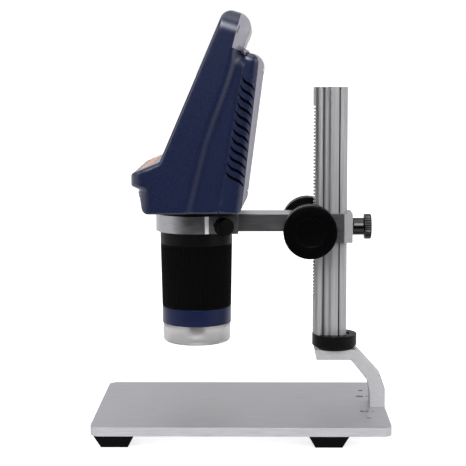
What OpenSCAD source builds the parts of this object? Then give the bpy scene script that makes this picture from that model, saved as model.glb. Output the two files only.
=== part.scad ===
// Digital microscope with a display head, held on a rack-and-pinion stand.
// Millimetres. The operator faces +Y, +X is to the right, +Z is up.
// The origin is on the table under the middle of the base plate.

/* [Base plate] */
// Length of the plate, front to back
plate_l = 200; // [170:1:260]
// Width of the plate
plate_w = 125; // [110:1:180]
// Thickness of the plate
plate_t = 6; // [5:0.5:10]
// Radius of the plate's corners
plate_r = 6; // [3:0.5:10]
// Height of the rubber feet
foot_h = 10; // [8:0.5:16]
// Side of a foot where it meets the plate
foot_top = 28; // [22:1:32]
// Side of a foot where it meets the table
foot_tip = 18; // [14:1:20]
// Distance from the plate's front edge to the middle of the front feet
foot_front = 15.5; // [15:0.5:30]
// Distance from the plate's rear edge to the middle of the rear feet
foot_back = 41.3; // [30:0.5:50]
// Distance from the plate's side to the middle of a foot
foot_side = 17.5; // [15:0.5:25]
// Radius of the two accessory holes
accessory_r = 2.8; // [2:0.1:3.2]
// Distance between the two accessory holes
accessory_span = 41; // [34:1:60]

/* [Bracket and post] */
// Width of the bracket
bracket_w = 18; // [16:1:24]
// Thickness of the bracket's leg
leg_t = 10.4; // [9:0.2:14]
// Thickness of the bracket's upper arm
shelf_t = 7.2; // [6.5:0.1:10]
// Height of the bracket above the plate
bracket_rise = 40.5; // [36:0.5:60]
// Distance from the plate's rear edge to the middle of the post
post_setback = 37.85; // [34:0.1:45]
// Depth of the post's section, front to back
post_d = 21.5; // [19:0.1:26]
// Width of the post's section
post_w = 16; // [14:0.1:18]
// Length of the post
post_l = 181.5; // [165:0.5:230]
// Radius of the collar round the post's foot
collar_r = 15.5; // [15:0.1:19]
// Height of the collar
collar_h = 10.3; // [8:0.1:14]
// Distance of the collar's middle behind the post's middle
collar_shift = 2.75; // [2:0.05:3.2]

/* [Rack and pinion] */
// Module of the teeth
tooth_module = 0.75; // [0.7:0.01:0.8]
// Teeth on the pinion
pinion_teeth = 10; // [10:1:11]
// Width of the rack strip
rack_w = 7; // [5:0.5:9]
// Amount that the rack stands out of the post
rack_proud = 1.6; // [1.4:0.1:1.9]
// Radius of the pinion shaft
shaft_r = 3; // [2.5:0.1:3.2]
// Radius of a focusing knob
knob_r = 18.1; // [14:0.1:20]
// Thickness of a focusing knob
knob_t = 13; // [9:0.5:16]
// Distance between the outer faces of the two knobs
knob_span = 70.6; // [64:0.2:90]

/* [Carriage and ring] */
// Height of the pinion's axis above the plate, at rest
carriage_lift = 126; // [118:0.5:135]
// Height of the carriage block
carriage_h = 20; // [19:0.5:26]
// Width of the carriage block and of the arm
carriage_w = 25; // [23.5:0.5:32]
// Height of the arm and of the ring
arm_h = 12; // [10.5:0.5:15]
// Distance from the post's middle to the barrel's axis
scope_reach = 93.35; // [88:0.5:115]
// Wall of the clamp ring
ring_wall = 3; // [2.5:0.1:5]
// Radius of the rear lock screw's head
lock_head_r = 8.7; // [7:0.1:11]
// Radius of the ring screw's knob
clamp_head_r = 6; // [5:0.1:7]

/* [Barrel] */
// Radius of the barrel's sleeve
sleeve_r = 24.9; // [24:0.1:28]
// Radius of the flange under the head
flange_r = 29.2; // [28.6:0.1:31]
// Height of the flange
flange_h = 5; // [3:0.5:8]
// Length of sleeve that shows under the ring
sleeve_drop = 9; // [6:0.5:14]
// Length of the focusing grip
grip_l = 44; // [38:0.5:52]
// Radius of the focusing grip's lower end
grip_tip_r = 24; // [23.6:0.1:24.9]
// Height of the nose ring
nose_ring_h = 11.6; // [9:0.2:16]
// Height of the diffuser
diffuser_h = 13.4; // [11:0.2:16]
// Radius of the diffuser
diffuser_r = 23.5; // [22.8:0.1:24]
// Radius of the opening in the diffuser and the lamp board
sight_r = 8; // [7:0.1:9]

/* [Head] */
// Width of the head at the display
head_w = 120; // [118:1:150]
// Inset of the head's rear part on each side
waist = 3; // [1:0.5:3.5]
// Wall of the housings
wall = 2.5; // [2:0.1:2.6]
// Lean of the display from the vertical
lean = 23.5; // [21:0.1:26]
// Length of the display slab along its face
slab_h = 107.5; // [103:0.5:125]
// Thickness of the display slab
slab_t = 21; // [20:0.5:24]
// Depth of the front shell at the slab's top edge
shell_d = 11; // [10:0.5:12]
// Radius of the slab's upper corners
corner_r = 10; // [6:0.5:12]
// Radius of the neck's front corners, seen from above
neck_r = 16; // [8:0.5:18]
// Radius of the rear cover's upright edges
rear_r = 10; // [6:0.5:12]
// Slope of the key ledge
ledge_slope = 22.5; // [20:0.5:26]
// Thickness of the rear cover
cover_t = 2.8; // [2.6:0.1:4]
// Vent slots on each side
vent_count = 12; // [6:1:13]
// Width of a vent slot
vent_w = 1.9; // [1.2:0.1:2.4]
// Number of keys
key_count = 5; // [5:1:5]
// Width of a key
key_w = 8.5; // [7:0.5:11]
// Length of a key
key_l = 11.5; // [11:0.5:13]
// Distance from key to key
key_pitch = 18; // [15:0.5:20]
// Travel of a key
key_travel = 0.5; // [0.3:0.1:0.6]

/* [Hidden] */

$fn = 64;
eps = 0.01;
slip = 0.05;        // radial clearance of a running fit
slide_gap = 0.12;   // clearance of the carriage round the post
seat = 0.02;        // clearance of a screw or lens in its own seat
far = 300;          // longer than anything in the part

// Heights and depths that everything else starts from
plate_top = foot_h + plate_t;
rear = plate_l / 2;
bracket_top = plate_top + bracket_rise;
post_y = rear - post_setback;
post_front = post_y - post_d / 2;
post_rear = post_y + post_d / 2;
post_top = bracket_top + post_l;
post_r = 3;
post_core_r = 2.55;
collar_y = post_y + collar_shift;
collar_top = bracket_top + collar_h;
leg_y = rear - leg_t / 2;

// Rack and pinion
tooth_pitch = PI * tooth_module;
tooth_rise = 0.8 * tooth_module;
tooth_dip = 1.05 * tooth_module;
tooth_slack = 0.22;
pitch_r = tooth_module * pinion_teeth / 2;
rack_tip = post_front - rack_proud;
rack_pitch_y = rack_tip + tooth_rise;
pinion_y = rack_pitch_y - pitch_r;
pinion_z = plate_top + carriage_lift;
rack_slot = 3;
rack_low = collar_top + 0.2;
rack_end = 13;
teeth_down = floor((pinion_z - rack_low - 27) / tooth_pitch);
teeth_up = floor((post_top - rack_end - pinion_z) / tooth_pitch);
pinion_l = 12;
cavity_r = pitch_r + tooth_rise + 0.8;
bush_r = shaft_r + 1;

// Carriage, arm and ring
carriage_low = pinion_z - carriage_h / 2;
carriage_top = pinion_z + carriage_h / 2;
block_front = pinion_y - 12.6;
cap_pocket = 2.2;
block_rear = post_rear - cap_pocket;
cap_t = 5.7;
cap_rear = block_rear + cap_t;
arm_low = carriage_top - arm_h;
arm_mid = carriage_top - arm_h / 2;
scope_y = post_y - scope_reach;
ring_r = sleeve_r + slip + ring_wall;
ring_back = ring_r + 1.5;
yoke_x = ring_r - 2.2;
yoke_strip = 1.3;
clamp_turn = 30;
screw_r = 2;
lock_screw_r = 2.95;

// Barrel, counted down from the ring's top
flange_z = carriage_top;
head_z = flange_z + flange_h;
sleeve_z = arm_low - sleeve_drop;
grip_z = sleeve_z - grip_l;
nose_z = grip_z - nose_ring_h;
tip_z = nose_z - diffuser_h;
core_r = 21;
bore_r = 19.5;
board_t = 1.6;
lip_h = 1.2;
led_z = nose_z + lip_h;
core_z = led_z + board_t;
web_z = head_z - 10;
web_t = 2;
sensor_w = 27;
barrel_screw_r = 22.2;
focus_down = 3;
focus_up = 9;
carrier_z = grip_z + 6;
carrier_h = 25;
objective_r = 5.5;
lens_r = 4.2;
pin_z = carrier_z + 15;
pin_r = 1.4;

// Head, in its own frame: y from the barrel's axis, z from the head's underside
face_foot = [-20.9, 34.1];
function slab_point(y, z) = face_foot
    + y * [cos(lean), -sin(lean)] + z * [sin(lean), cos(lean)];
ledge_l = 20.6;
nose_tip = face_foot - ledge_l * [cos(ledge_slope), sin(ledge_slope)];
nose_h = 8.6;
chin = [-35.1, nose_tip.y - nose_h - 1.4];
base_front = -32.4;
base_rear = 30.4;
heel = [36.1, 10.6];
bulge_top = 104.1;
bulge_rear = 48.5;
bulge_fall = 2.9;
top_rise = 2.6;
slab_foot = (bulge_top + 1 - slab_point(slab_t, 0).y) / cos(lean);
notch = slab_point(slab_t, slab_foot);
nose_r = 7;
rear_lean = atan2(bulge_rear - heel.x, bulge_top - heel.y);
top_tilt = atan(top_rise / slab_t);

// Seam between front housing and top cover; it starts a little above the bulge
function seam_y(z) = shell_d + (slab_h - z) * 0.15;
function seam_point(z) = slab_point(seam_y(z), z);
seam_foot = seam_point(slab_foot - 0.6);

// The display part is wider than the rear part, in front of this line and in the base band
step_foot = [-0.8, 0];
band_h = 4.8;
function step_point(z) = step_foot + (seam_foot - step_foot) * z / seam_foot.y;
bulge_w = head_w - 2 * waist;
cavity_w = bulge_w - 2 * wall;

// Corners of the head's side outline with their radii, counter-clockwise
head_outline = [
    [each face_foot, 3],
    [each nose_tip, 3.2],
    [nose_tip.x, nose_tip.y - nose_h, 2.6],
    [each chin, 3],
    [base_front, 0, 4.5],
    [base_rear, 0, 2],
    [each heel, 4],
    [rear_y(bulge_top - bulge_fall), bulge_top - bulge_fall, 9],
    [each notch, 1.6],
    [each slab_point(slab_t, slab_h + top_rise), 8],
    [each slab_point(0, slab_h), 7.5]];

// Seam between front and rear housing
ridge_low = [16.9, 0];
ridge_high = [34.4, bulge_top - 0.4];
function ridge_y(z) = ridge_low.x + (ridge_high.x - ridge_low.x) * z / ridge_high.y;
function rear_y(z) = heel.x + (bulge_rear - heel.x) * (z - heel.y) / (bulge_top - heel.y);

window_w = head_w - 10;
window_low = 19;
window_h = slab_h - window_low - 13;
window_t = 1.2;
window_z = window_low + window_h / 2;
panel_w = window_w - 4.5;
panel_h = window_h - 4.8;
panel_t = 3;
view_w = window_w - 14;
view_h = window_h - 17.2;
board_low = 12;
board_w = cavity_w - 25;
board_h = slab_h - board_low - 8;
board_z = board_low + board_h / 2;
board_y = 8;
board_boss_r = 2.8;
board_screw_r = 1.1;
board_screw_l = 4.5;
key_y = -10.6;
key_rise = 0.8;
key_board_gap = 1;
key_board_z = -wall - key_board_gap - key_travel;
key_board_w = cavity_w - 7;
key_board_l = 14;
dimmer_r = 8;
dimmer_t = 3;
dimmer_proud = 1.9;
dimmer_x = head_w / 2 - 24;
dimmer_z = 12.5;
function neck_y(z) = chin.x + (base_front - chin.x) * (1 - z / chin.y);
dimmer_y = neck_y(dimmer_z) - dimmer_proud + dimmer_r;
dimmer_body_x = dimmer_x + dimmer_t + 0.6;
dimmer_body_w = 7;
dimmer_body_low = [dimmer_body_x, dimmer_y - 2, wall + 2.2];
case_x = bulge_w / 2 - 9;
case_low = 14;
case_high = bulge_top - 12;
case_r = 1.5;
case_screw_l = 24;
boss_half = 4;
boss_l = 12;
screw_sink = 1.9;
cover_screw_r = 1.25;
cover_boss_r = 3.2;
cover_screw_x = cavity_w / 2 - 4.5;
cover_screw_z = slab_h - 9;
port_x = -cavity_w / 2;
port_y = -4;
port_half = 8;
socket_d = 11;
socket_wall = 0.8;

// Sockets on the left side, from the bottom: [height, opening's width, opening's height]
power_port = [12, 8.8, 3];
data_port = [24, 8.4, 3.2];
card_port = [34.5, 12.4, 2.4];

// ---- shared shapes ----

// Unit vector along v
function unit(v) = v / norm(v);

// Signed smallest turn from angle a to angle b
function turn(a, b) = let (d = b - a) d > 180 ? d - 360 : d < -180 ? d + 360 : d;

// Rounds each corner [x, y, r] of an outline with an arc of its own radius
function rounded(outline, steps = 6) = [
    for (i = [0 : len(outline) - 1])
        let (
            n = len(outline),
            here = outline[i],
            c = [here.x, here.y],
            p = outline[(i + n - 1) % n],
            q = outline[(i + 1) % n],
            u = unit([p.x, p.y] - c),
            w = unit([q.x, q.y] - c),
            half = acos(max(-1, min(1, u * w))) / 2,
            m = c + unit(u + w) * here.z / sin(half),
            a = c + u * here.z / tan(half),
            b = c + w * here.z / tan(half),
            a0 = atan2(a.y - m.y, a.x - m.x),
            sweep = turn(a0, atan2(b.y - m.y, b.x - m.x)))
        for (k = [0 : steps]) m + here.z * [cos(a0 + sweep * k / steps), sin(a0 + sweep * k / steps)]];

// Moves each side of a counter-clockwise outline inwards by d and keeps the arcs concentric
function inset(outline, d) = [
    for (i = [0 : len(outline) - 1])
        let (
            n = len(outline),
            here = outline[i],
            c = [here.x, here.y],
            p = outline[(i + n - 1) % n],
            q = outline[(i + 1) % n],
            u = unit(c - [p.x, p.y]),
            w = unit([q.x, q.y] - c),
            nu = [-u.y, u.x],
            nw = [-w.y, w.x],
            bend = u.x * w.y - u.y * w.x,
            m = c + d * (nu + nw) / (1 + nu * nw))
        [m.x, m.y, bend > 0 ? max(here.z - d, 0.3) : here.z + d]];

// Rectangle with true round corners
module round_rect(w, h, r) {
    square([w - 2 * r, h], center = true);
    square([w, h - 2 * r], center = true);
    for (x = [-1, 1], y = [-1, 1])
        translate([x * (w / 2 - r), y * (h / 2 - r)]) circle(r);
}

// Extrudes a (y, z) outline across the part's width, centred on x = 0
module across(w) {
    rotate([90, 0, 90]) linear_extrude(w, center = true) children();
}

// Cylinder from x = a to x = b about the X axis
module rod_x(r, a, b) {
    translate([a, 0, 0]) rotate([0, 90, 0]) cylinder(r = r, h = b - a);
}

// Cylinder from y = a to y = b about the Y axis
module rod_y(r, a, b) {
    translate([0, a, 0]) rotate([-90, 0, 0]) cylinder(r = r, h = b - a);
}

// Box from corner a to corner b
module box(a, b) {
    translate(a) cube(b - a);
}

// ---- stand ----

module foot_places() {
    for (x = [-1, 1], y = [-rear + foot_front, rear - foot_back])
        translate([x * (plate_w / 2 - foot_side), y, 0]) children();
}

accessory_y = rear - leg_t - 5;
outer_hole_x = accessory_span / 2 + 17;
leg_screw_x = bracket_w / 4;

module base_plate() {
    color("silver") difference() {
        translate([0, 0, foot_h]) linear_extrude(plate_t) round_rect(plate_w, plate_l, plate_r);
        for (x = [-1, 1]) {
            translate([x * accessory_span / 2, accessory_y, 0]) cylinder(r = accessory_r, h = 2 * plate_top);
            translate([x * accessory_span / 2, accessory_y + accessory_r + 2.6, 0])
                cylinder(r = 1.2, h = 2 * plate_top);
            translate([x * outer_hole_x, accessory_y + 1.9, 0]) cylinder(r = 1.7, h = 2 * plate_top);
            translate([x * leg_screw_x, leg_y, 0]) {
                cylinder(r = 2.1, h = 2 * plate_top);
                cylinder(r = 3.8, h = foot_h + 3.2);
            }
        }
        foot_places() cylinder(r = 2 + seat, h = plate_top - 1.5);
    }
}

module feet() {
    color("#18181a") foot_places() difference() {
        intersection() {
            across(foot_top) foot_side_shape();
            rotate(90) across(foot_top) foot_side_shape();
        }
        translate([0, 0, -eps]) cylinder(r = 4, h = 4);
        cylinder(r = 2 + seat, h = foot_h + 1);
    }
}

module foot_side_shape() {
    polygon([[-foot_tip / 2, 0], [foot_tip / 2, 0], [foot_top / 2, foot_h], [-foot_top / 2, foot_h]]);
}

module foot_screws() {
    color("gray") foot_places() {
        translate([0, 0, 4 - eps]) cylinder(r = 2, h = plate_top - 2 - 4);
        translate([0, 0, 1.6]) cylinder(r = 3.8, h = 2.4 - eps);
    }
}

// Bent arm: a shelf under the post, a slope and a leg on the plate's rear edge
bracket_nose = collar_y - collar_r + 1.3;
bend_in = leg_y - leg_t / 2 - 13.5;
bend_out = rear - 20;

module bracket() {
    shelf_low = bracket_top - shelf_t;
    color("silver") difference() {
        across(bracket_w) polygon(rounded([
            [bracket_nose, bracket_top, 0.4],
            [bracket_nose + 1.4, shelf_low, 0.4],
            [bend_in, shelf_low, 2],
            [leg_y - leg_t / 2 - 1.4, shelf_low - 15.2, 6],
            [leg_y - leg_t / 2, shelf_low - 24, 6],
            [leg_y - leg_t / 2, plate_top, 0.05],
            [rear, plate_top, 0.05],
            [rear, bracket_top - 27.5, 8],
            [rear - 2.9, bracket_top - 18.8, 5],
            [bend_out, bracket_top, 3]]));
        for (x = [-1, 1]) translate([x * leg_screw_x, leg_y, plate_top - eps]) cylinder(r = 2 + seat, h = 12);
        translate([0, post_y, shelf_low - 1]) cylinder(r = 2.5 + seat, h = shelf_t + 2);
        translate([0, post_y, shelf_low - 1]) cylinder(r = 4.8, h = 5);
    }
}

module bracket_screws() {
    color("gray") for (x = [-1, 1]) translate([x * leg_screw_x, leg_y, 0]) {
        translate([0, 0, foot_h + 3.2 - eps]) cylinder(r = 2, h = plate_t - 3.2 + 11);
        translate([0, 0, foot_h + 0.4]) cylinder(r = 3.6, h = 2.8 - eps);
    }
}

// Outline of the post: two side grooves and a fine line on each side, a slot for the rack
groove_y = post_front + 6.95;
line_y = post_front + 10.5;
slot_y = post_front + 16;

module post_outline(gap = 0) {
    translate([0, post_y]) round_rect(post_w + 2 * gap, post_d + 2 * gap, post_r);
}

module post_section() {
    difference() {
        post_outline();
        for (x = [-1, 1]) {
            translate([x * (post_w / 2 + 1.7), groove_y]) circle(3.4);
            translate([x * post_w / 2, line_y]) square([1.4, 0.6], center = true);
            translate([x * post_w / 2, slot_y]) square([2.4, 0.9], center = true);
        }
        translate([0, post_front]) square([rack_w + 2 * seat, 2 * rack_slot], center = true);
        translate([0, post_y]) circle(post_core_r);
    }
}

module post() {
    color("silver") translate([0, 0, bracket_top]) linear_extrude(post_l) post_section();
}

module post_screw() {
    screw_z = bracket_top - shelf_t + 0.2;
    color("gray") translate([0, post_y, 0]) {
        translate([0, 0, screw_z]) cylinder(r = 4.5, h = 3.8);
        translate([0, 0, screw_z + 3.8 - eps]) cylinder(r = 2.5, h = shelf_t + 12);
    }
}

// Toothed strip: gaps centred on the pinion's height and every pitch above and below it
module rack() {
    half_tip = (tooth_pitch - tooth_pitch / 2 + tooth_slack) / 2 + tooth_rise * tan(20);
    half_root = half_tip - (tooth_rise + tooth_dip) * tan(20);
    root_y = rack_tip + tooth_rise + tooth_dip;
    back_y = post_front + rack_slot;
    color("silver") across(rack_w) polygon([
        [back_y, post_top], [back_y, rack_low], [rack_tip, rack_low],
        for (i = [-teeth_down : teeth_up])
            let (z = pinion_z + i * tooth_pitch)
            each [[rack_tip, z - half_tip], [root_y, z - half_root],
                  [root_y, z + half_root], [rack_tip, z + half_tip]],
        [rack_tip, post_top]]);
}

module post_collar() {
    chamfer = 2.6;
    color("#1a1a1c") difference() {
        translate([0, collar_y, bracket_top]) {
            cylinder(r1 = collar_r - chamfer, r2 = collar_r, h = chamfer);
            translate([0, 0, chamfer - eps]) cylinder(r = collar_r, h = collar_h - chamfer + eps);
        }
        translate([0, 0, bracket_top - 1]) linear_extrude(collar_h + 2) post_outline(0.1);
        translate([0, post_rear, collar_top - 4]) linear_extrude(5) square([6, 5], center = true);
    }
}

// ---- carriage ----

module at_pinion() {
    translate([0, pinion_y, pinion_z]) children();
}

module cap_screw_places() {
    for (x = [-1, 1], z = [-1, 1])
        translate([x * (carriage_w / 2 - 2.25), 0, pinion_z + z * (carriage_h / 2 - 3)]) children();
}

arm_screw_z = carriage_top - 2.6;
arm_screw_x = 6.6;

module carriage_block() {
    color("silver") difference() {
        box([-carriage_w / 2, block_front, carriage_low], [carriage_w / 2, block_rear, carriage_top]);
        translate([0, 0, carriage_low - 1]) linear_extrude(carriage_h + 2) {
            post_outline(slide_gap);
            translate([0, post_front]) square([rack_w + 1, 2 * rack_proud + 0.6], center = true);
        }
        at_pinion() {
            rod_x(cavity_r, -pinion_l / 2 - 0.1, pinion_l / 2 + 0.1);
            rod_x(bush_r, -carriage_w, carriage_w);
        }
        for (x = [-1, 1]) translate([x * arm_screw_x, 0, arm_screw_z]) {
            rod_y(1.6, block_front - 1, post_front);
            rod_y(2.2, post_front - 3, post_front + 1);
        }
        cap_screw_places() rod_y(1.25 + seat, block_rear - 9, block_rear + 1);
    }
}

module carriage_cap() {
    color("silver") difference() {
        box([-carriage_w / 2, block_rear, carriage_low], [carriage_w / 2, cap_rear, carriage_top]);
        translate([0, 0, carriage_low - 1]) linear_extrude(carriage_h + 2) post_outline(slide_gap);
        translate([0, 0, pinion_z]) rod_y(lock_screw_r + slip, post_y, cap_rear + 1);
        cap_screw_places() {
            rod_y(1.3, block_rear - 1, cap_rear + 1);
            rod_y(2.1, cap_rear - 2, cap_rear + 1);
        }
    }
}

module cap_screws() {
    color("gray") cap_screw_places() {
        rod_y(1.25, block_rear - 8, cap_rear - 2 + eps);
        rod_y(2, cap_rear - 2 + eps, cap_rear - 0.2);
    }
}

module pinion_bushes() {
    color("goldenrod") at_pinion() for (side = [0, 1]) mirror([side, 0, 0]) difference() {
        rod_x(bush_r - seat, pinion_l / 2 + 0.1, carriage_w / 2);
        rod_x(shaft_r + slip, 0, carriage_w);
    }
}

module arm_bar() {
    color("silver") difference() {
        box([-carriage_w / 2, scope_y + ring_back, arm_low], [carriage_w / 2, block_front, carriage_top]);
        for (x = [-1, 1]) translate([x * arm_screw_x, 0, arm_screw_z])
            rod_y(1.5 + seat, block_front - 10, block_front + 1);
        ring_screw_places() rod_y(screw_r + seat, scope_y + ring_back - 1, scope_y + ring_back + 12);
    }
}

module arm_screws() {
    color("gray") for (x = [-1, 1]) translate([x * arm_screw_x, 0, arm_screw_z]) {
        rod_y(1.5, block_front - 9, post_front - 3 + eps);
        rod_y(2.1, post_front - 3 + eps, post_front - 0.6);
    }
}

module ring_screw_places() {
    for (x = [-1, 1]) translate([x * 7, 0, arm_mid]) children();
}

// Ring with a squared back; narrow flats lead from the round front to the yoke's sides
module ring_outline() {
    strip_x = yoke_x + yoke_strip;
    flat_y = sqrt(ring_r * ring_r - strip_x * strip_x);
    strip_y = flat_y + 2 * yoke_strip;
    out_x = strip_x + yoke_strip;
    out_y = flat_y - 2 * yoke_strip;
    intersection() {
        union() {
            circle(ring_r);
            translate([-ring_r, strip_y]) square([2 * ring_r, ring_back - strip_y]);
        }
        polygon([[-yoke_x, 2 * ring_r], [-yoke_x, strip_y], [-out_x, out_y],
                 [-2 * ring_r, out_y], [-2 * ring_r, -2 * ring_r], [2 * ring_r, -2 * ring_r],
                 [2 * ring_r, out_y], [out_x, out_y], [yoke_x, strip_y],
                 [yoke_x, 2 * ring_r]]);
    }
}

module clamp_axis() {
    translate([0, scope_y, arm_mid]) rotate(clamp_turn) children();
}

module clamp_ring() {
    seat_y = scope_y + ring_back - 2.6;
    color("silver") difference() {
        translate([0, scope_y, arm_low]) linear_extrude(arm_h) ring_outline();
        translate([0, scope_y, arm_low - 1]) cylinder(r = sleeve_r + slip, h = arm_h + 2);
        ring_screw_places() {
            rod_y(screw_r + seat, scope_y, scope_y + ring_back + 1);
            rod_y(3.3, scope_y, seat_y);
        }
        clamp_axis() rod_x(screw_r, 0, 2 * ring_r);
    }
}

module ring_screws() {
    seat_y = scope_y + ring_back - 2.6;
    color("gray") ring_screw_places() {
        rod_y(screw_r, seat_y - eps, scope_y + ring_back + 11);
        rod_y(3.2, seat_y - 1.8, seat_y);
    }
}

// ---- pinion and knobs ----

// Tooth outline: straight flanks narrowed by the slack, at each of the pinion's pitches
module pinion_outline() {
    root_r = pitch_r - tooth_dip;
    tip_r = pitch_r + tooth_rise;
    half_pitch = (tooth_pitch / 2 - tooth_slack) / 2;
    circle(root_r);
    for (i = [0 : pinion_teeth - 1]) rotate(i * 360 / pinion_teeth)
        polygon([[0, -half_pitch - 0.1], [root_r, -half_pitch - 0.1], [pitch_r, -half_pitch],
                 [tip_r, -half_pitch + 0.3], [tip_r, half_pitch - 0.3],
                 [pitch_r, half_pitch], [root_r, half_pitch + 0.1], [0, half_pitch + 0.1]]);
}

knob_in = knob_span / 2 - knob_t;
hub_r = 6.5;

module pinion_shaft() {
    color("gray") at_pinion() {
        rotate([90, 0, 90]) linear_extrude(pinion_l, center = true) pinion_outline();
        for (side = [0, 1]) mirror([side, 0, 0]) rod_x(shaft_r, pinion_l / 2 - eps, knob_span / 2 - 4);
    }
}

// Dished knob with a hub that reaches in to the carriage
module knob() {
    face_x = knob_span / 2;
    difference() {
        union() {
            rod_x(knob_r, knob_in, face_x);
            rod_x(hub_r, carriage_w / 2 + 0.5, knob_in + eps);
        }
        rod_x(shaft_r + seat, 0, face_x - 4);
        rod_x(knob_r - 8.5, face_x - 0.8, face_x + 1);
        grub_hole();
    }
}

// Radial hole for the grub screw in the hub
module grub_hole() {
    translate([knob_in - 3, 0, shaft_r]) cylinder(r = 1.5 + seat, h = hub_r);
}

module knob_right() {
    color("#141416") at_pinion() knob();
}

module knob_left() {
    color("#141416") at_pinion() mirror([1, 0, 0]) knob();
}

module knob_set_screws() {
    color("gray") at_pinion() for (side = [0, 1]) mirror([side, 0, 0])
        translate([knob_in - 3, 0, shaft_r + 0.05]) cylinder(r = 1.5, h = hub_r - shaft_r - 0.3);
}

// ---- lock screws ----

lock_pad_t = 1.4;
lock_neck_l = 7.4;
lock_head_t = 5.2;

module at_lock() {
    translate([0, post_rear, pinion_z]) children();
}

module lock_pad() {
    color("goldenrod") at_lock() rod_y(lock_screw_r, slip, slip + lock_pad_t);
}

module lock_screw() {
    neck = cap_rear - post_rear + 0.8;
    color("#141416") at_lock() {
        rod_y(lock_screw_r, slip + lock_pad_t, neck + eps);
        rod_y(6, neck, neck + lock_neck_l + eps);
        rod_y(lock_head_r, neck + lock_neck_l, neck + lock_neck_l + lock_head_t);
    }
}

clamp_pad_t = 1.6;
clamp_neck = yoke_x / cos(clamp_turn) + 2.5;
clamp_head = ring_r + 9;

module clamp_pad() {
    color("white") clamp_axis()
        rod_x(screw_r - slip, sleeve_r + slip, sleeve_r + slip + clamp_pad_t);
}

module clamp_screw() {
    color("#141416") clamp_axis() {
        rod_x(screw_r - slip, sleeve_r + slip + clamp_pad_t, clamp_neck + eps);
        rod_x(3.5, clamp_neck, clamp_head + eps);
        rod_x(clamp_head_r, clamp_head, clamp_head + 7);
    }
}

// ---- barrel ----

module on_axis() {
    translate([0, scope_y, 0]) children();
}

module barrel_screw_places() {
    for (a = [0, 180, 270]) rotate(a) translate([barrel_screw_r, 0, 0]) children();
}

module barrel_tube() {
    color("#1a1a1c") on_axis() difference() {
        rotate_extrude() polygon([
            [9, web_z], [bore_r, web_z], [bore_r, core_z], [core_r, core_z], [core_r, sleeve_z],
            [sleeve_r, sleeve_z], [sleeve_r, flange_z], [flange_r, flange_z], [flange_r, head_z],
            [bore_r, head_z], [bore_r, web_z + web_t], [9, web_z + web_t]]);
        box([bore_r - 2, -pin_r - 0.1, pin_z - focus_down - pin_r - 0.3],
            [core_r + 1, pin_r + 0.1, pin_z + focus_up + pin_r + 0.3]);
        barrel_screw_places() translate([0, 0, head_z - 10]) cylinder(r = 1.25 + seat, h = 11);
    }
}

module barrel_screws() {
    color("gray") on_axis() barrel_screw_places() {
        translate([0, 0, head_z - 9]) cylinder(r = 1.25, h = 9 + wall + eps);
        translate([0, 0, head_z + wall]) cylinder(r = 2.2, h = 1.8);
    }
}

module focus_ring() {
    color("#141416") on_axis() difference() {
        translate([0, 0, grip_z + 0.1])
            cylinder(r1 = grip_tip_r, r2 = sleeve_r - 0.05, h = grip_l - 0.2);
        translate([0, 0, grip_z - 1]) cylinder(r = core_r + slip, h = grip_l + 2);
    }
}

module nose_ring() {
    color("#26335a") on_axis() difference() {
        translate([0, 0, nose_z]) cylinder(r = grip_tip_r - 0.05, h = nose_ring_h);
        translate([0, 0, nose_z - 1]) cylinder(r = core_r + seat, h = nose_ring_h + 2);
    }
}

module diffuser() {
    fillet = 2.8;
    floor_t = 2;
    color([0.85, 0.87, 0.88, 0.8]) on_axis() rotate_extrude() difference() {
        union() {
            translate([0, tip_z]) square([diffuser_r - fillet, diffuser_h]);
            translate([0, tip_z + fillet]) square([diffuser_r, diffuser_h - fillet]);
            translate([diffuser_r - fillet, tip_z + fillet]) circle(fillet);
            translate([0, nose_z - eps]) square([core_r - 0.05, lip_h + eps]);
        }
        translate([0, tip_z - 1]) square([sight_r, diffuser_h]);
        translate([0, tip_z + floor_t]) square([diffuser_r - 2.2, diffuser_h - floor_t - 1.6]);
        translate([0, tip_z + floor_t]) square([core_r - 1.8, 2 * diffuser_h]);
    }
}

module led_board() {
    color("darkgreen") on_axis() translate([0, 0, led_z]) difference() {
        cylinder(r = core_r - 0.05, h = board_t);
        translate([0, 0, -1]) cylinder(r = sight_r, h = board_t + 2);
    }
}

module leds() {
    color("lightyellow") on_axis() for (i = [0 : 7]) rotate(22.5 + i * 45)
        translate([(sight_r + core_r - 1.8) / 2, 0, led_z - 2]) cylinder(r = 1.5, h = 2);
}

module lens_carrier() {
    r = bore_r - slip;
    color("#202022") on_axis() {
        rotate_extrude() polygon([
            [lens_r, tip_z + 5], [objective_r, tip_z + 5], [objective_r, carrier_z], [r, carrier_z],
            [r, carrier_z + carrier_h], [r - 2, carrier_z + carrier_h], [r - 2, carrier_z + 2.5],
            [lens_r, carrier_z + 2.5]]);
        translate([0, 0, pin_z]) rod_x(pin_r, r - 1, core_r - 0.05);
    }
}

module objective_lenses() {
    color([0.7, 0.8, 0.9, 0.5]) on_axis() {
        translate([0, 0, tip_z + 6]) cylinder(r = lens_r - seat, h = 1.8);
        translate([0, 0, tip_z + 12]) cylinder(r = lens_r - seat, h = 2.4);
        translate([0, 0, carrier_z - 1.5]) cylinder(r = lens_r - seat, h = 2);
    }
}

module sensor_board() {
    color("darkgreen") on_axis() translate([0, 0, web_z + web_t]) {
        translate([-sensor_w / 2, -sensor_w / 2, 0]) cube([sensor_w, sensor_w, board_t]);
        translate([-4, -4, -1.4]) cube([8, 8, 1.4 + eps]);
    }
}

// ---- head ----

module on_head() {
    translate([0, scope_y, head_z]) children();
}

// Frame of the display slab: z up along the face, y into the slab
module on_slab() {
    translate([0, face_foot.x, face_foot.y]) rotate([-lean, 0, 0]) children();
}

// Frame of the key ledge: y up the ledge towards the display, z out of it
module on_ledge() {
    translate([0, face_foot.x, face_foot.y]) rotate([ledge_slope, 0, 0]) children();
}

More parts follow.
